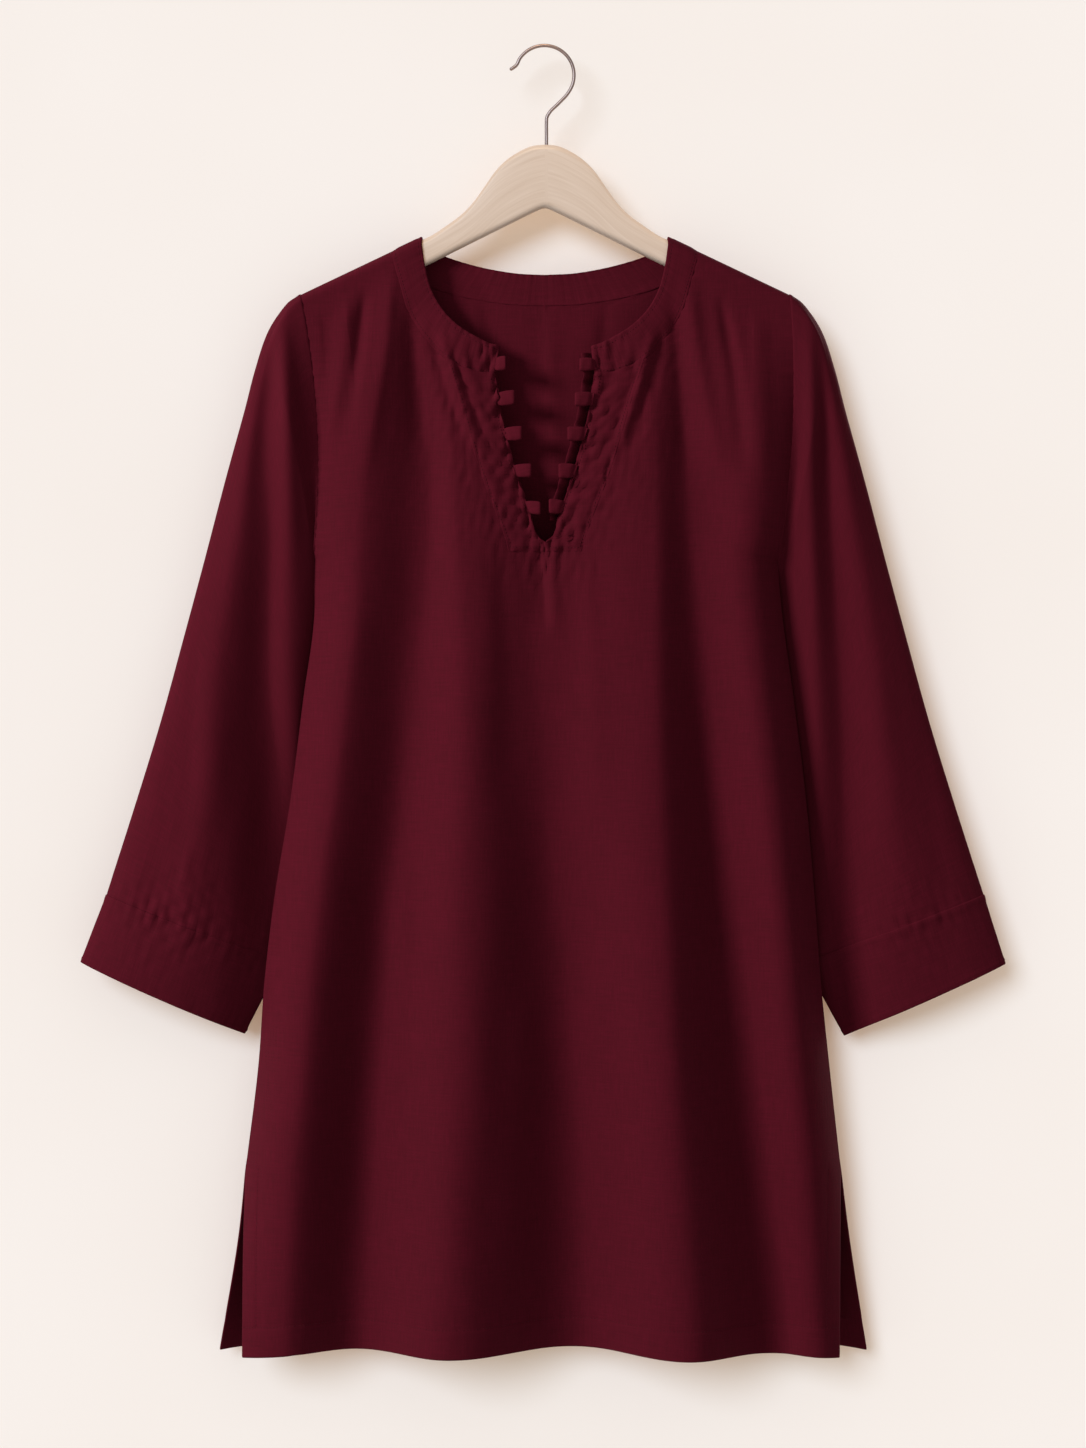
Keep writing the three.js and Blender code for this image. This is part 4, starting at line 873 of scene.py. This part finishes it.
def make_tab(name, side, middle_z, length, seed):
    """Rings of a squared oval (cos and sin to the power 0.62) from under the placket out into the slit."""
    rng = np.random.default_rng(seed)
    tilt, swell, shift = rng.uniform(-0.12, 0.12), rng.uniform(0.94, 1.05), rng.uniform(-0.3, 0.3)
    angle = 2 * np.pi * (np.arange(TAB_SIDES) + 0.5) / TAB_SIDES
    squared = np.stack([np.sign(f(angle)) * np.abs(f(angle)) ** 0.62 for f in (np.cos, np.sin)])
    share, tall, thick = TAB_RINGS.T[:, :, None]
    z = middle_z + squared[1] * tall * TAB_HEIGHT * swell / 2
    root, edge = slit_edge(middle_z), slit_edge(z)
    inward = lerp(edge - 0.4, root - 0.4 - length, share)
    one = np.full((1,), 1.0)
    surface_y = panel(-1, side * root * one, middle_z * one, EDGE_ROUND * one, 0)[0, 1]
    tipped = TAB_TIPPED[side] * np.maximum(share, 0)
    y = surface_y - 0.6 - shift - tipped - squared[0] * thick * TAB_THICK / 2
    z = z + tilt * (edge - inward)
    # The fold line where the scrap's edges meet: a shallow groove along the tab's middle.
    groove = 0.45 * soft_line(squared[1] * tall, 0, 0.16) * (squared[0] > 0) * smooth((share - 0.05) / 0.3)
    y = y + groove + 0.16 * np.sin(share * 9 + angle * 3 + seed)
    points = np.stack([side * inward, y, z], axis=-1)
    uv = np.stack([points[..., 0], points[..., 2] + 0.7 * points[..., 1]], axis=-1) * MM
    return rod(name + "_cloth", name, points, uv, CLOTH_RED, turned=side < 0)


TAB_PIECES = {side: [make_tab(f"tab_{word}_{k + 1}", side, middle_z, reach[side > 0], 50 + 10 * side + k)
                     for k, (middle_z, *reach) in enumerate(TABS)] for side, word in SIDES.items()}
print("tabs:", sum(len(row) for row in TAB_PIECES.values()))

# %% [markdown]
# ## Sleeves and cuffs
# A sleeve starts as the armhole's narrow loop and turns into a flat oval that hangs beside the body. Its
# own weight presses one long trough into the front, next to the body. The cuff is a doubled band whose
# seam gathers the sleeve a little, so short puckers stand on both sides of it.

# %% Sleeve sections
SLEEVE = np.array([                   # outer x, outer z, inner z, tuck, behind, half depth, oval, fullness
    (210.7, -213.3, -441.2, 0, 0, 14, 0, 0), (223, -223, -456, 0.8, 4.5, 14.5, 0.05, 0.5),
    (238, -246, -477, 2.4, 7.5, 16, 0.2, 1), (249, -279, -504, 3.6, 9, 16, 0.45, 1),
    (258, -314, -534, 4, 9.5, 16.5, 0.7, 1), (274, -372, -575, 4.5, 10, 17, 0.9, 1),
    (292, -441, -620, 5, 11, 17.5, 1, 1), (310.5, -510, -664, 6, 12, 18.5, 1, 1),
    (329.4, -579, -706, 7.5, 12.5, 18.5, 1, 1), (350.5, -648, -747, 9, 13, 18.5, 1, 1),
    (376.7, -730, -787.8, 11, 13, 18, 1, 1)])
CUFF_END = {                          # outer x, outer z, inner x, inner z, behind, half depth
    -1: (398.3, -786.3, 259.8, -848.4, 12, 17), 1: (395, -787.8, 258.5, -850.3, 12, 15)}
ARMHOLE_DROPS = np.r_[0, 1.04, 3.9, ARMHOLE[:, 0]]
OVAL_FULLNESS, SLEEVE_COLUMNS = 1.4, 176
SLEEVE_BEND = {-1: 2.0, 1: 1.0}       # the left sleeve swings back behind the body only near its inner edge
GATHER = {-1: 1.15, 1: 0.7}           # how strongly the cuff's seam puckers the cloth
CUFF_THICK, CUFF_OVERLAP = 1.7, 0.5
CUFF_PROUD = (0.06, 0.4)              # how far the cuff stands out at its seam, and beyond it
TROUGHS = {                           # z, x, depth, half widths away from the body and towards it
    -1: np.array([
        (-235, -236, 0, 8, 8), (-265, -236, 3.5, 9, 9), (-330, -240, 7, 12, 11), (-425, -237, 10, 18, 13),
        (-475, -238, 13, 24, 14), (-580, -237, 17, 31, 18), (-640, -230, 20, 35, 24),
        (-700, -222, 23, 38, 30), (-860, -214, 22, 40, 34)]),
    1: np.array([
        (-235, 234, 0, 8, 8), (-265, 236, 3.5, 9, 9), (-375, 243, 7.5, 11, 12), (-480, 251, 9, 18, 14),
        (-579, 257, 10, 22, 15), (-640, 259, 11, 25, 16), (-763, 260, 11, 26, 17), (-860, 262, 10, 26, 17)])}
SLEEVE_CREASES = {                    # on the front; the back gets them too, turned round and weaker
    -1: [(-224, -232, -220, -330, -218, -440, 5.6, 7.5, 10, 0.0),
         (-248, -262, -254, -330, -262, -430, 2.4, 6, 10, 0.0),
         (-262, -400, -282, -530, -292, -700, 2.2, 10, 16, 0.0),
         (-318, -600, -330, -690, -340, -770, -1.8, 9, 14, 0.0),
         (-300, -500, -304, -600, -312, -690, -1.2, 7, 10, 0.0),
         (-306, -690, -310, -735, -314, -775, 1.4, 5, 8, 0.0)],
    1: [(226, -240, 228, -330, 226, -440, 2.6, 6, 8, 0.0),
        (228, -420, 232, -540, 234, -700, 2.2, 7, 9, 0.0),
        (272, -430, 288, -560, 302, -720, 2.4, 11, 16, 0.0),
        (320, -560, 336, -680, 350, -790, -1.4, 9, 13, 0.0),
        (254, -300, 262, -380, 276, -470, 1.6, 6, 10, 0.0)]}


def sleeve_sections(side, share):
    """Columns of the sleeve's table at shares of its length, with the inner edge's x worked out."""
    at = share * (len(SLEEVE) - 1)
    out_x, out_z, in_z, tuck, behind, depth, oval, full = (by_number(column, at) for column in SLEEVE.T)
    in_x = by_height(SIDE_SEAM, 1 if side < 0 else 2, in_z) - tuck
    return np.stack([out_x, out_z, in_x, in_z, behind, depth, np.clip(oval, 0, 1), np.clip(full, 0, 1)])


def sleeve_rings(side, sections):
    """Rings round the sleeve: down the front from the outer edge to the inner edge, and back up behind.

    Across, q runs from 0 to 1 as (1 - cos a) / 2, and the half thickness is depth times sin a to the
    power 1.4. At the armhole both follow the armhole's own table: oval turns its outline into the
    sleeve's, and fullness its depth."""
    out_x, out_z, in_x, in_z, behind, depth, oval, full = sections[:, :, None]
    turn = 2 * np.pi * np.arange(SLEEVE_COLUMNS) / SLEEVE_COLUMNS
    a = np.where(turn <= np.pi, turn, 2 * np.pi - turn)[None]
    face = np.where(turn <= np.pi, -1.0, 1.0)[None]
    drop = by_number(ARMHOLE_DROPS, a / np.pi * (len(ARMHOLE_DROPS) - 1))
    q = lerp(drop / ARMHOLE_DROPS[-1], (1 - np.cos(a)) / 2, oval)
    flat = depth * np.abs(np.sin(a)) ** OVAL_FULLNESS
    half = lerp(armhole_depth(drop) + HALF_GAP, flat, full)
    x = side * (lerp(out_x, in_x, q) - ARMHOLE_BOW[side] * 4 * q * (1 - q) * (1 - oval) ** 2)
    z = lerp(out_z, in_z, q)
    middle, deep, outward, inward = (by_height(TROUGHS[side], k, z) for k in (1, 2, 3, 4))
    off = side * (x - middle)
    press = deep * soft_line(off, 0, np.where(off > 0, outward, inward))
    finer = creases(x, z, SLEEVE_CREASES[side])
    swung = x + side * 12 + 6 * np.sin(z / 90)
    behind_finer = creases(swung, z, SLEEVE_CREASES[side], -0.8)
    waves = 0.35 * small_waves(x, z, 60 + side)
    relief = np.where(face < 0, finer - press + waves, behind_finer - 0.2 * press + waves)
    middle_y = behind * q ** SLEEVE_BEND[side]
    y = middle_y + face * (half + relief * np.sin(a) ** OVAL_FULLNESS * full)
    edge = (a < 1e-6) | (a > np.pi - 1e-6)
    return np.stack([x + 0 * y, np.where(edge, middle_y, y), z + 0 * y], axis=-1), a


def make_tube(name, rings, relief, thickness, uv_start):
    """Cloth round rings. The cut is laid flat from the column where it closes, both ways round."""
    uv = arc_uv(rings, uv_start)
    half = rings.shape[1] // 2
    uv[:, half:, 0] = uv[:, half:half + 1, 0] * 2 - uv[:, half:, 0]
    return cloth_grid(name, rings, uv, thickness, relief, name.endswith("right"), closed=True)


def make_sleeve(side, word):
    """A sleeve and its cuff, with puckers on both sides of the seam between them."""
    share = np.r_[np.linspace(0, 0.86, 104)[:-1], np.linspace(0.86, 1, 38)]
    sections = sleeve_sections(side, share)
    rings, a = sleeve_rings(side, sections)
    # The first ring is tucked in just under the panel's edge.
    rings[0, :, 0] -= side * 0.45
    rings[0, :, 1] *= 0.97
    to_seam = np.linalg.norm(rings - rings[-1:], axis=2)
    round_tube = lengths(rings[-1])[None]
    gathered = 0.1 + soft_line(np.cos(a), 0.2, 0.42)

    def drawn_up(points, distance, reach, crumple_reach):
        """Puckers and crumples that the cuff's seam draws up, fading out on both sides of it."""
        waves = GATHER[side] * pucker(round_tube, 70 + side, 9) * gathered
        rumpled = GATHER[side] * crumple(points[..., 0], points[..., 2], 92 + side, 13) * gathered
        waves = waves * (0.6 * fade(distance, 9) + 0.4 * fade(distance, reach))
        return waves + 1.4 * rumpled * fade(distance, crumple_reach)

    relief = drawn_up(rings, to_seam, 26, 26)
    to_armhole = np.linalg.norm(rings - rings[:1], axis=2)
    by_armhole = fade(to_armhole, 10) * smooth(to_armhole / 3)
    relief = relief + 0.3 * pucker(rings[..., 2], 80 + side, 10) * by_armhole
    sleeve = make_tube(f"sleeve_{word}", rings, relief, CLOTH_THICK, (0.9 + side * 0.3, 0.0))

    steps = np.r_[0, 0.012, 0.03, 0.055, np.linspace(0.09, 0.9, 22), 0.925, 0.945, 0.965, 0.982, 0.993, 1.0]
    seam = sections[:, -1]
    end = np.r_[CUFF_END[side], 1.0, 1.0]
    cuff_sections = lerp(seam[:, None], end[:, None], steps)
    cuff_rings = sleeve_rings(side, cuff_sections)[0]
    step = cuff_rings[1] - rings[-1]
    cuff_rings[0] = rings[-1] - CUFF_OVERLAP * unit(step)
    from_seam = np.linalg.norm(cuff_rings - rings[-1:], axis=2)
    to_end = np.linalg.norm(cuff_rings - cuff_rings[-1:], axis=2)
    relief = drawn_up(cuff_rings, from_seam, 20, 22)
    relief = relief + lerp(*CUFF_PROUD, smooth(from_seam / 7)) - 0.16 * soft_line(from_seam, 2.4, 1.0)
    relief = relief - 0.35 * soft_line(to_end, 3.2, 1.0)
    relief = relief + 0.22 * pucker(round_tube, 90 + side, 7) * fade(to_end, 7)
    cuff = make_tube(f"cuff_{word}", cuff_rings, relief, CUFF_THICK, (0.9 + side * 0.3, 0.62))
    counts = [len(piece.data.polygons) * 2 for piece in (sleeve[0], cuff[0])]
    print(f"sleeve and cuff {word}:", *counts, "triangles")
    return sleeve, cuff


SLEEVES = {side: make_sleeve(side, word) for side, word in SIDES.items()}

# %% [markdown]
# ## Stitches
# Seams and hems are sewn with matching thread. A stitch is a short swell of thread that dips into the
# cloth at both ends, so a row of them is one mesh of small six-sided drops set along a line.

# %% Thread and stitch lines
THREAD, tree, shader = new_material("wine_red_cotton_thread")
twist = noise(tree, node(tree, "ShaderNodeTexCoord", {}, "Object"), 2600.0, 1.0)
fill(shader, {"Base Color": ramp(tree, twist, [(0.35, "#3c0813"), (0.65, "#4f0f1d")]),
              "Roughness": 0.7, "Specular IOR Level": 0.08})
STITCH_SHARES = np.array([0.0, 0.3, 0.7, 1.0])
STITCH_FULL = np.array([0.3, 1.0, 1.0, 0.3])
STITCH_LIFT = np.array([-0.35, 0.5, 0.5, -0.35])


def stitch_line(path, normals, pitch=3.0, length=2.2, width=0.5, height=0.32):
    """Points and quads of stitches along a path: four ellipses across it each, lifted by their shares."""
    run = lengths(path)
    count = max(int(run[-1] / pitch), 1)
    at = (np.arange(count)[:, None] + 0.5) * run[-1] / count + (STITCH_SHARES - 0.5) * length
    centre = np.stack([np.interp(at, run, path[:, k]) for k in range(3)], axis=-1)
    up = unit(np.stack([np.interp(at, run, normals[:, k]) for k in range(3)], axis=-1))
    forward = unit(centre[:, -1:] - centre[:, :1])
    sideways = unit(np.cross(up, forward + 0 * up))
    angle = 2 * np.pi * np.arange(6) / 6
    full = STITCH_FULL[None, :, None, None]
    middle = centre + up * (STITCH_LIFT * height)[None, :, None]
    ring = (middle[:, :, None] + full * (width / 2 * np.cos(angle)[:, None] * sideways[:, :, None]
                                         + height / 2 * np.sin(angle)[:, None] * up[:, :, None]))
    numbers = np.arange(count * 24).reshape(count, 4, 6)
    wrapped = np.concatenate([numbers, numbers[:, :, :1]], axis=2)
    sides = np.stack([wrapped[:, :-1, :-1], wrapped[:, :-1, 1:],
                      wrapped[:, 1:, 1:], wrapped[:, 1:, :-1]], axis=-1)
    first, last = numbers[:, 0], numbers[:, 3]
    caps = [first[:, [3, 2, 1, 0]], first[:, [0, 5, 4, 3]], last[:, [0, 1, 2, 3]], last[:, [3, 4, 5, 0]]]
    return ring.reshape(-1, 3), np.concatenate([sides.reshape(-1, 4), *caps])


def sew(name, lines):
    """One object from several stitch lines, each given as its path and normals."""
    points, quads, count = [], [], 0
    for path, normals in lines:
        line_points, line_quads = stitch_line(path, normals)
        points.append(line_points)
        quads.append(line_quads + count)
        count += len(line_points)
    points, quads = np.concatenate(points), np.concatenate(quads)
    made = mesh_object(name, points, quads, points[:, [0, 2]] * MM, THREAD)
    print(name, count // 24, "stitches")
    return made


def column(grid, k, start=0, stop=None):
    """A stitch line down one column of a piece's outside, as path and normals."""
    return grid[0][start:stop, k], grid[1][start:stop, k]


def row(grid, k, start=0, stop=None):
    """A stitch line along one row."""
    return grid[0][k, start:stop], grid[1][k, start:stop]


def closed_row(grid, k):
    """A stitch line all round a tube."""
    return tuple(np.concatenate([part[k], part[k][:1]]) for part in grid)


HEM_ROW = -1 - int(np.argmin(np.abs(HEM_STEPS[::-1] - HEM_TURN)))
SLIT_COLUMN = -1 - int(np.argmin(np.abs(EDGE_STEPS - SLIT_TURN)))
hem_lines = {}
for word, halves in (("front", front_grids), ("back", back_grids)):
    slit_row = int(np.argmin(np.abs(halves[0][0][:, -1, 2] - SLIT_TOP_Z)))
    hem_lines[word] = sew(f"hem_stitches_{word}", [
        line for half in halves for line in (row(half, HEM_ROW), column(half, SLIT_COLUMN, slit_row, -9))])
bands = (("left", band_left, None), ("right", band_right, None), ("back", band_back, -4))
neck_stitches = {word: sew(f"neck_stitches_{word}", [column(band, k, 4, stop) for k in (8, 2)])
                 for word, band, stop in bands}
placket_stitches, cuff_stitches = {}, {}
for side, word in SIDES.items():
    strip = PLACKETS[side][1:]
    placket_stitches[side] = sew(f"placket_stitches_{word}", [
        column(strip, 4, 2, -2), column(strip, 14, 2, -2), row(strip, -3, 4, -3)])
for side, word in SIDES.items():
    cuff = SLEEVES[side][1][1:]
    cuff_stitches[side] = sew(f"cuff_stitches_{word}", [closed_row(cuff, 2), closed_row(cuff, -5)])

# %% [markdown]
# ## Wooden hanger
# The hanger is pale beech, sawn to its curved outline, rounded over along its edges and sealed with a
# satin clear lacquer. Its grain runs out along each arm. Its front is left bare.

# %% Beech
BEECH, tree, shader = new_material("lacquered_beech")
GRAIN_WIDTH = 2.4                     # mm between growth lines where the board is cut on the quarter
place = node(tree, "ShaderNodeUVMap", {}, uv_map="cut")
growth = noise(tree, stretched(tree, place, (0.035, 1.0, 1.0)), 1 / (GRAIN_WIDTH * MM), 3.0, 0.55, 0.4)
flecks = node(tree, "ShaderNodeTexVoronoi",
              {"Vector": stretched(tree, place, (380.0, 2600.0, 1.0)), "Scale": 1.0}, "Distance")
wood = ramp(tree, growth, [(0.3, "#c8af99"), (0.5, "#ceb6a1"), (0.7, "#d4bda9")])
fill(shader, {
    "Base Color": times(tree, wood, in_range(tree, flecks, 0.05, 0.28, 0.93, 1.0)),
    "Normal": node(tree, "ShaderNodeBump", {"Strength": 0.12, "Distance": 0.0002, "Height": growth}),
    "Roughness": 0.48, "Coat Weight": 0.35, "Coat Roughness": 0.3})

# %% Hanger
HANGER_TOP = np.array([               # x, z of the upper edge, from the middle to where the cloth covers it
    (0, -83.8), (11, -85), (23, -90.3), (33, -97), (43, -107), (52, -120), (61, -132.5), (70, -142.3),
    (83, -152.3), (98, -162.2), (112, -168.4)])
HANGER_NOTCH_Z, GRAIN_SLOPE = -137, 0.49
ARM_TIP_X, ARM_TIP_LENGTH, ARM_HALF_THICK, ARM_GAP, ARM_EDGE_SIDES = 214.5, 9, 5.5, 2.0, 16
ARM_TIP_HALF = 5                      # half the wood's height at its rounded tip
ARM_REACH = np.r_[np.linspace(0, 205, 84), 207, 208.8, 210.3, 211.5, 212.5, 213.2, 213.7]


def hanger_top(x):
    """The measured edge, and beyond it a line just under the shoulder's cloth."""
    table = table_curve(HANGER_TOP[:, 0], HANGER_TOP[:, 1], x)
    return np.where(x <= HANGER_TOP[-1, 0], table, ridge_z(x) - ARM_GAP)


def hanger_bottom(x):
    """Straight arms that meet in a small round: 137 down, and half the root of x squared plus 3 squared."""
    return HANGER_NOTCH_Z - 0.5 * np.hypot(x, 3)


def make_hanger():
    """Sections across the wood along x: straight sides with a half round of 5.5 mm above and below."""
    x = np.r_[-ARM_REACH[:0:-1], ARM_REACH][:, None]
    reach = np.abs(x)
    full = np.sqrt(1 - (1 - np.clip((ARM_TIP_X - reach) / ARM_TIP_LENGTH, 0, 1)) ** 2)
    top, bottom = hanger_top(reach), hanger_bottom(reach)
    half = lerp(ARM_TIP_HALF, (top - bottom) / 2, full)
    radius = np.minimum(ARM_HALF_THICK, half) * lerp(0.6, 1, full)
    angle = np.pi * (np.arange(ARM_EDGE_SIDES + 1) / ARM_EDGE_SIDES - 0.5)
    y, z = [], []
    for end in (1, -1):
        y.append(end * radius * np.sin(angle))
        z.append((top + bottom) / 2 + end * (half - radius + radius * np.cos(angle)))
    y, z = np.hstack(y), np.hstack(z)
    points = np.stack([x + 0 * y, y, z], axis=-1)
    # The grain follows each arm: length along the arm, and height above its middle line.
    along_arm = x * math.hypot(1, GRAIN_SLOPE)
    uv = np.stack([along_arm + 0 * z, z - (top + bottom) / 2 + 0.6 * y + 40 * (x > 0)], axis=-1) * MM
    return rod("wooden_hanger", "hanger", points, uv, BEECH)


HANGER = make_hanger()
print("hanger:", round(HANGER.dimensions.x * 1000), "mm across")

# %% [markdown]
# ## Wire hook
# The hook is 3 mm steel wire, drawn through a die and bent round a pin, so its finest marks run along
# it. It keeps a soft grey shine. The shank goes down into a hole in the wood.

# %% Steel wire
WIRE, tree, shader = new_material("drawn_steel_wire")
place = node(tree, "ShaderNodeUVMap", {}, uv_map="cut")
drawn_marks = noise(tree, stretched(tree, place, (60.0, 4200.0, 1.0)))
fill(shader, {"Base Color": ramp(tree, drawn_marks, [(0.35, "#80706a"), (0.65, "#a48f88")]),
              "Roughness": in_range(tree, drawn_marks, 0.3, 0.7, 0.24, 0.42), "Metallic": 1.0})

# %% Hook
WIRE_RADIUS, HOOK_RADIUS, HOOK_CENTRE_X, WIRE_SIDES = 1.5, 25.5, -0.5, 20
SHANK = [(1.3, -92), (1.3, -83.4), (1.3, -74), (1.3, -65), (1.6, -60.5), (4.2, -55.8), (11.2, -48.8)]
HOOK_TURN, HOOK_TIP = (-36, 160), (-30.3, -19.6)     # degrees round its centre, and x, z of the wire's end


def make_hook():
    """A round wire along a flat curve: a straight shank, an easy bend, and most of a circle."""
    turn = np.radians(np.linspace(*HOOK_TURN, 15))
    circle = np.stack([HOOK_CENTRE_X + HOOK_RADIUS * np.cos(turn),
                       WIRE_RADIUS - HOOK_RADIUS + HOOK_RADIUS * np.sin(turn)], axis=-1)
    line = along([*SHANK, *circle, HOOK_TIP], np.linspace(0, 1, 190))
    forward = unit(np.gradient(line, axis=0))
    sideways = np.stack([forward[:, 1], -forward[:, 0]], axis=-1)
    # The tip is rounded off: the last rings shrink as a quarter circle over one radius.
    run = lengths(line)
    near_tip = np.clip((run[-1] - run) / WIRE_RADIUS, 0, 1)
    radius = WIRE_RADIUS * np.sqrt(np.maximum(1 - (1 - near_tip) ** 2, 0.02))[:, None]
    angle = 2 * np.pi * np.arange(WIRE_SIDES) / WIRE_SIDES
    x = line[:, :1] + sideways[:, :1] * radius * np.cos(angle)
    z = line[:, 1:] + sideways[:, 1:] * radius * np.cos(angle)
    points = np.stack([x, radius * np.sin(angle) + 0 * x, z], axis=-1)
    uv = np.stack([run[:, None] + 0 * x, angle * WIRE_RADIUS + 0 * x], axis=-1) * MM
    return rod("wire_hook", "hook", points, uv, WIRE)


HOOK = make_hook()
print("hook:", round(HOOK.dimensions.z * 1000), "mm tall")

# %% [markdown]
# ## Studio
# The kurti hangs in front of a plain pale wall, over a plain pale floor. One large soft light stands to
# the upper left and in front, so folds are bright on their left and dark on their right. The wall can't
# be seen from behind and casts no shadow, so the back of the garment is lit and shown from there too.

# %% Wall and floor
WALL_Y, FLOOR_Z = 36.0, -1700.0


def plain_paint(name, colour, one_sided=False):
    """Matt paint, a little mottled. One-sided paint is clear from behind."""
    material, tree, shader = new_material(name)
    mottle = noise(tree, node(tree, "ShaderNodeTexCoord", {}, "Object"), 3.0)
    fill(shader, {"Base Color": ramp(tree, mottle, [(0.3, colour[0]), (0.7, colour[1])]),
                  "Roughness": 0.9, "Specular IOR Level": 0.2})
    if one_sided:
        behind = node(tree, "ShaderNodeNewGeometry", {}, "Backfacing")
        clear = node(tree, "ShaderNodeBsdfTransparent", {})
        mixed = node(tree, "ShaderNodeMixShader", {0: behind, 1: shader.outputs[0], 2: clear})
        fill(tree.nodes["Material Output"], {0: mixed})
    return material


def plain_sheet(name, corners, material):
    """One flat quad of the stage, with its corners in mm."""
    mesh = bpy.data.meshes.new(name)
    mesh.from_pydata([tuple(value * MM for value in corner) for corner in corners], [], [(0, 1, 2, 3)])
    mesh.materials.append(material)
    made = add_object(name, mesh)
    return made


WALL = plain_sheet("wall", [(-4000, WALL_Y, FLOOR_Z), (4000, WALL_Y, FLOOR_Z), (4000, WALL_Y, 2500),
                            (-4000, WALL_Y, 2500)], plain_paint("wall_paint", ("#f1e9e2", "#f3ece6"), True))
WALL.visible_shadow = False
FLOOR = plain_sheet("floor", [(-4000, -5000, FLOOR_Z), (4000, -5000, FLOOR_Z), (4000, 5000, FLOOR_Z),
                              (-4000, 5000, FLOOR_Z)], plain_paint("floor_paint", ("#f0eae4", "#f3ede8")))
FLOOR.visible_diffuse = False
print("wall", WALL_Y, "mm behind the hanger, floor at", FLOOR_Z, "mm")

# %% Lights
def aimed(towards):
    """The turn that makes a light shine from a place in that direction."""
    level = math.hypot(towards[0], towards[1])
    return math.atan2(level, towards[2]), 0, math.atan2(towards[0], -towards[1])


def soft_sun(name, towards, strength, softness, colour, lit=None, shadow=True):
    """A distant light. towards points at it, and softness is the angle in degrees that it fills."""
    light = bpy.data.lights.new(name, "SUN")
    light.energy, light.angle, light.color = strength, math.radians(softness), linear(colour)[:3]
    light.use_shadow = shadow
    made = add_object(name, light)
    made.rotation_euler = aimed(towards)
    if lit:
        made.light_linking.receiver_collection = lit
    return made


def light_group(name, pieces):
    """Pieces that some lights are meant for."""
    group = bpy.data.collections.new(name)
    for piece in pieces:
        group.objects.link(piece)
    return group


KEY_WAY, KEY_DISTANCE, KURTI_MIDDLE_Z = (-0.81, -0.46, 0.36), 4.2, -620.0
on_stage = light_group("lit_stage", [WALL, FLOOR, HANGER, HOOK])
on_kurti = light_group("lit_cloth", [piece for piece in bpy.context.scene.objects if piece.type == "MESH"
                                     and piece not in (WALL, FLOOR, HANGER, HOOK)])
key = bpy.data.lights.new("key", "AREA")
key.shape, key.size, key.energy, key.color = "SQUARE", 1.0, 201.0, linear("#fffdfb")[:3]
key_object = add_object("key", key)
key_object.location = np.array([0, 0, KURTI_MIDDLE_Z * MM]) + KEY_DISTANCE * np.array(KEY_WAY)
key_object.rotation_euler = aimed(KEY_WAY)
key_object.light_linking.receiver_collection = on_kurti
soft_sun("back_key", (0.55, 0.75, 0.40), 2.4, 14, "#fffdfb", lit=on_kurti)
soft_sun("wall_wash", (-0.06, -0.70, 0.70), 1.27, 14, "#ffdcb0", lit=on_stage, shadow=False)
soft_sun("wall_key", (-0.42, -0.85, 0.34), 1.95, 30, "#d5eaff", lit=on_stage)
world = bpy.data.worlds.new("studio")
world.use_nodes = True
fill(world.node_tree.nodes["Background"], {"Color": linear("#f8f6f4"), "Strength": 0.45})
bpy.context.scene.world = world
bpy.context.scene.view_settings.view_transform = "Standard"

# %% Camera
CAMERA_DISTANCE, FRAME_HEIGHT = 2600.0, 1245.28      # mm, the frame's height at the hanger
CAMERA_X, CAMERA_Z = -1.7, -582
camera = bpy.data.cameras.new("camera")
camera.sensor_fit = "AUTO"
camera.lens = camera.sensor_width * CAMERA_DISTANCE / FRAME_HEIGHT
camera_object = add_object("camera", camera)
camera_object.location = (CAMERA_X * MM, -CAMERA_DISTANCE * MM, CAMERA_Z * MM)
camera_object.rotation_euler = (math.pi / 2, 0, 0)
bpy.context.scene.camera = camera_object

# %% [markdown]
# ## What each piece is
# Every cloth piece is listed with the size that its cut has flat and its area, and these are printed. All
# pieces move as one body.

# %% Flat sizes and the one body
for piece, flat, area, extra in [
        (FRONT, (0.62, 0.96), 0.45, [hem_lines["front"]]),
        (BACK, (0.64, 0.96), 0.47, [hem_lines["back"]]),
        (BAND_LEFT, (0.05, 0.16), 0.0035, [neck_stitches["left"]]),
        (BAND_RIGHT, (0.05, 0.16), 0.0035, [neck_stitches["right"]]),
        (BAND_BACK, (0.06, 0.28), 0.0068, [neck_stitches["back"]]),
        (PLACKETS[-1][0], (0.045, 0.165), 0.0055, [placket_stitches[-1], *TAB_PIECES[-1]]),
        (PLACKETS[1][0], (0.045, 0.165), 0.0055, [placket_stitches[1], FACING, *TAB_PIECES[1]]),
        (SLEEVES[-1][0][0], (0.47, 0.6), 0.125, []),
        (SLEEVES[1][0][0], (0.47, 0.6), 0.125, []),
        (SLEEVES[-1][1][0], (0.31, 0.065), 0.019, [cuff_stitches[-1]]),
        (SLEEVES[1][1][0], (0.31, 0.065), 0.019, [cuff_stitches[1]])]:
    print(piece.name, "is cut from", flat, "m, and its area is", area, "m2")

cloth_pieces = [piece for piece in bpy.context.scene.objects if piece.active_material in (CLOTH_RED, THREAD)]
for pieces, slot in ((cloth_pieces, "cloth"), ([HANGER], "hanger_wood"), ([HOOK], "hook_wire")):
    for piece in pieces:
        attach(piece, "root")
shown = [piece for piece in bpy.context.scene.objects if piece.type == "MESH" and not piece.hide_render]
print("triangles in all:", sum(len(piece.data.polygons) * 2 for piece in shown))
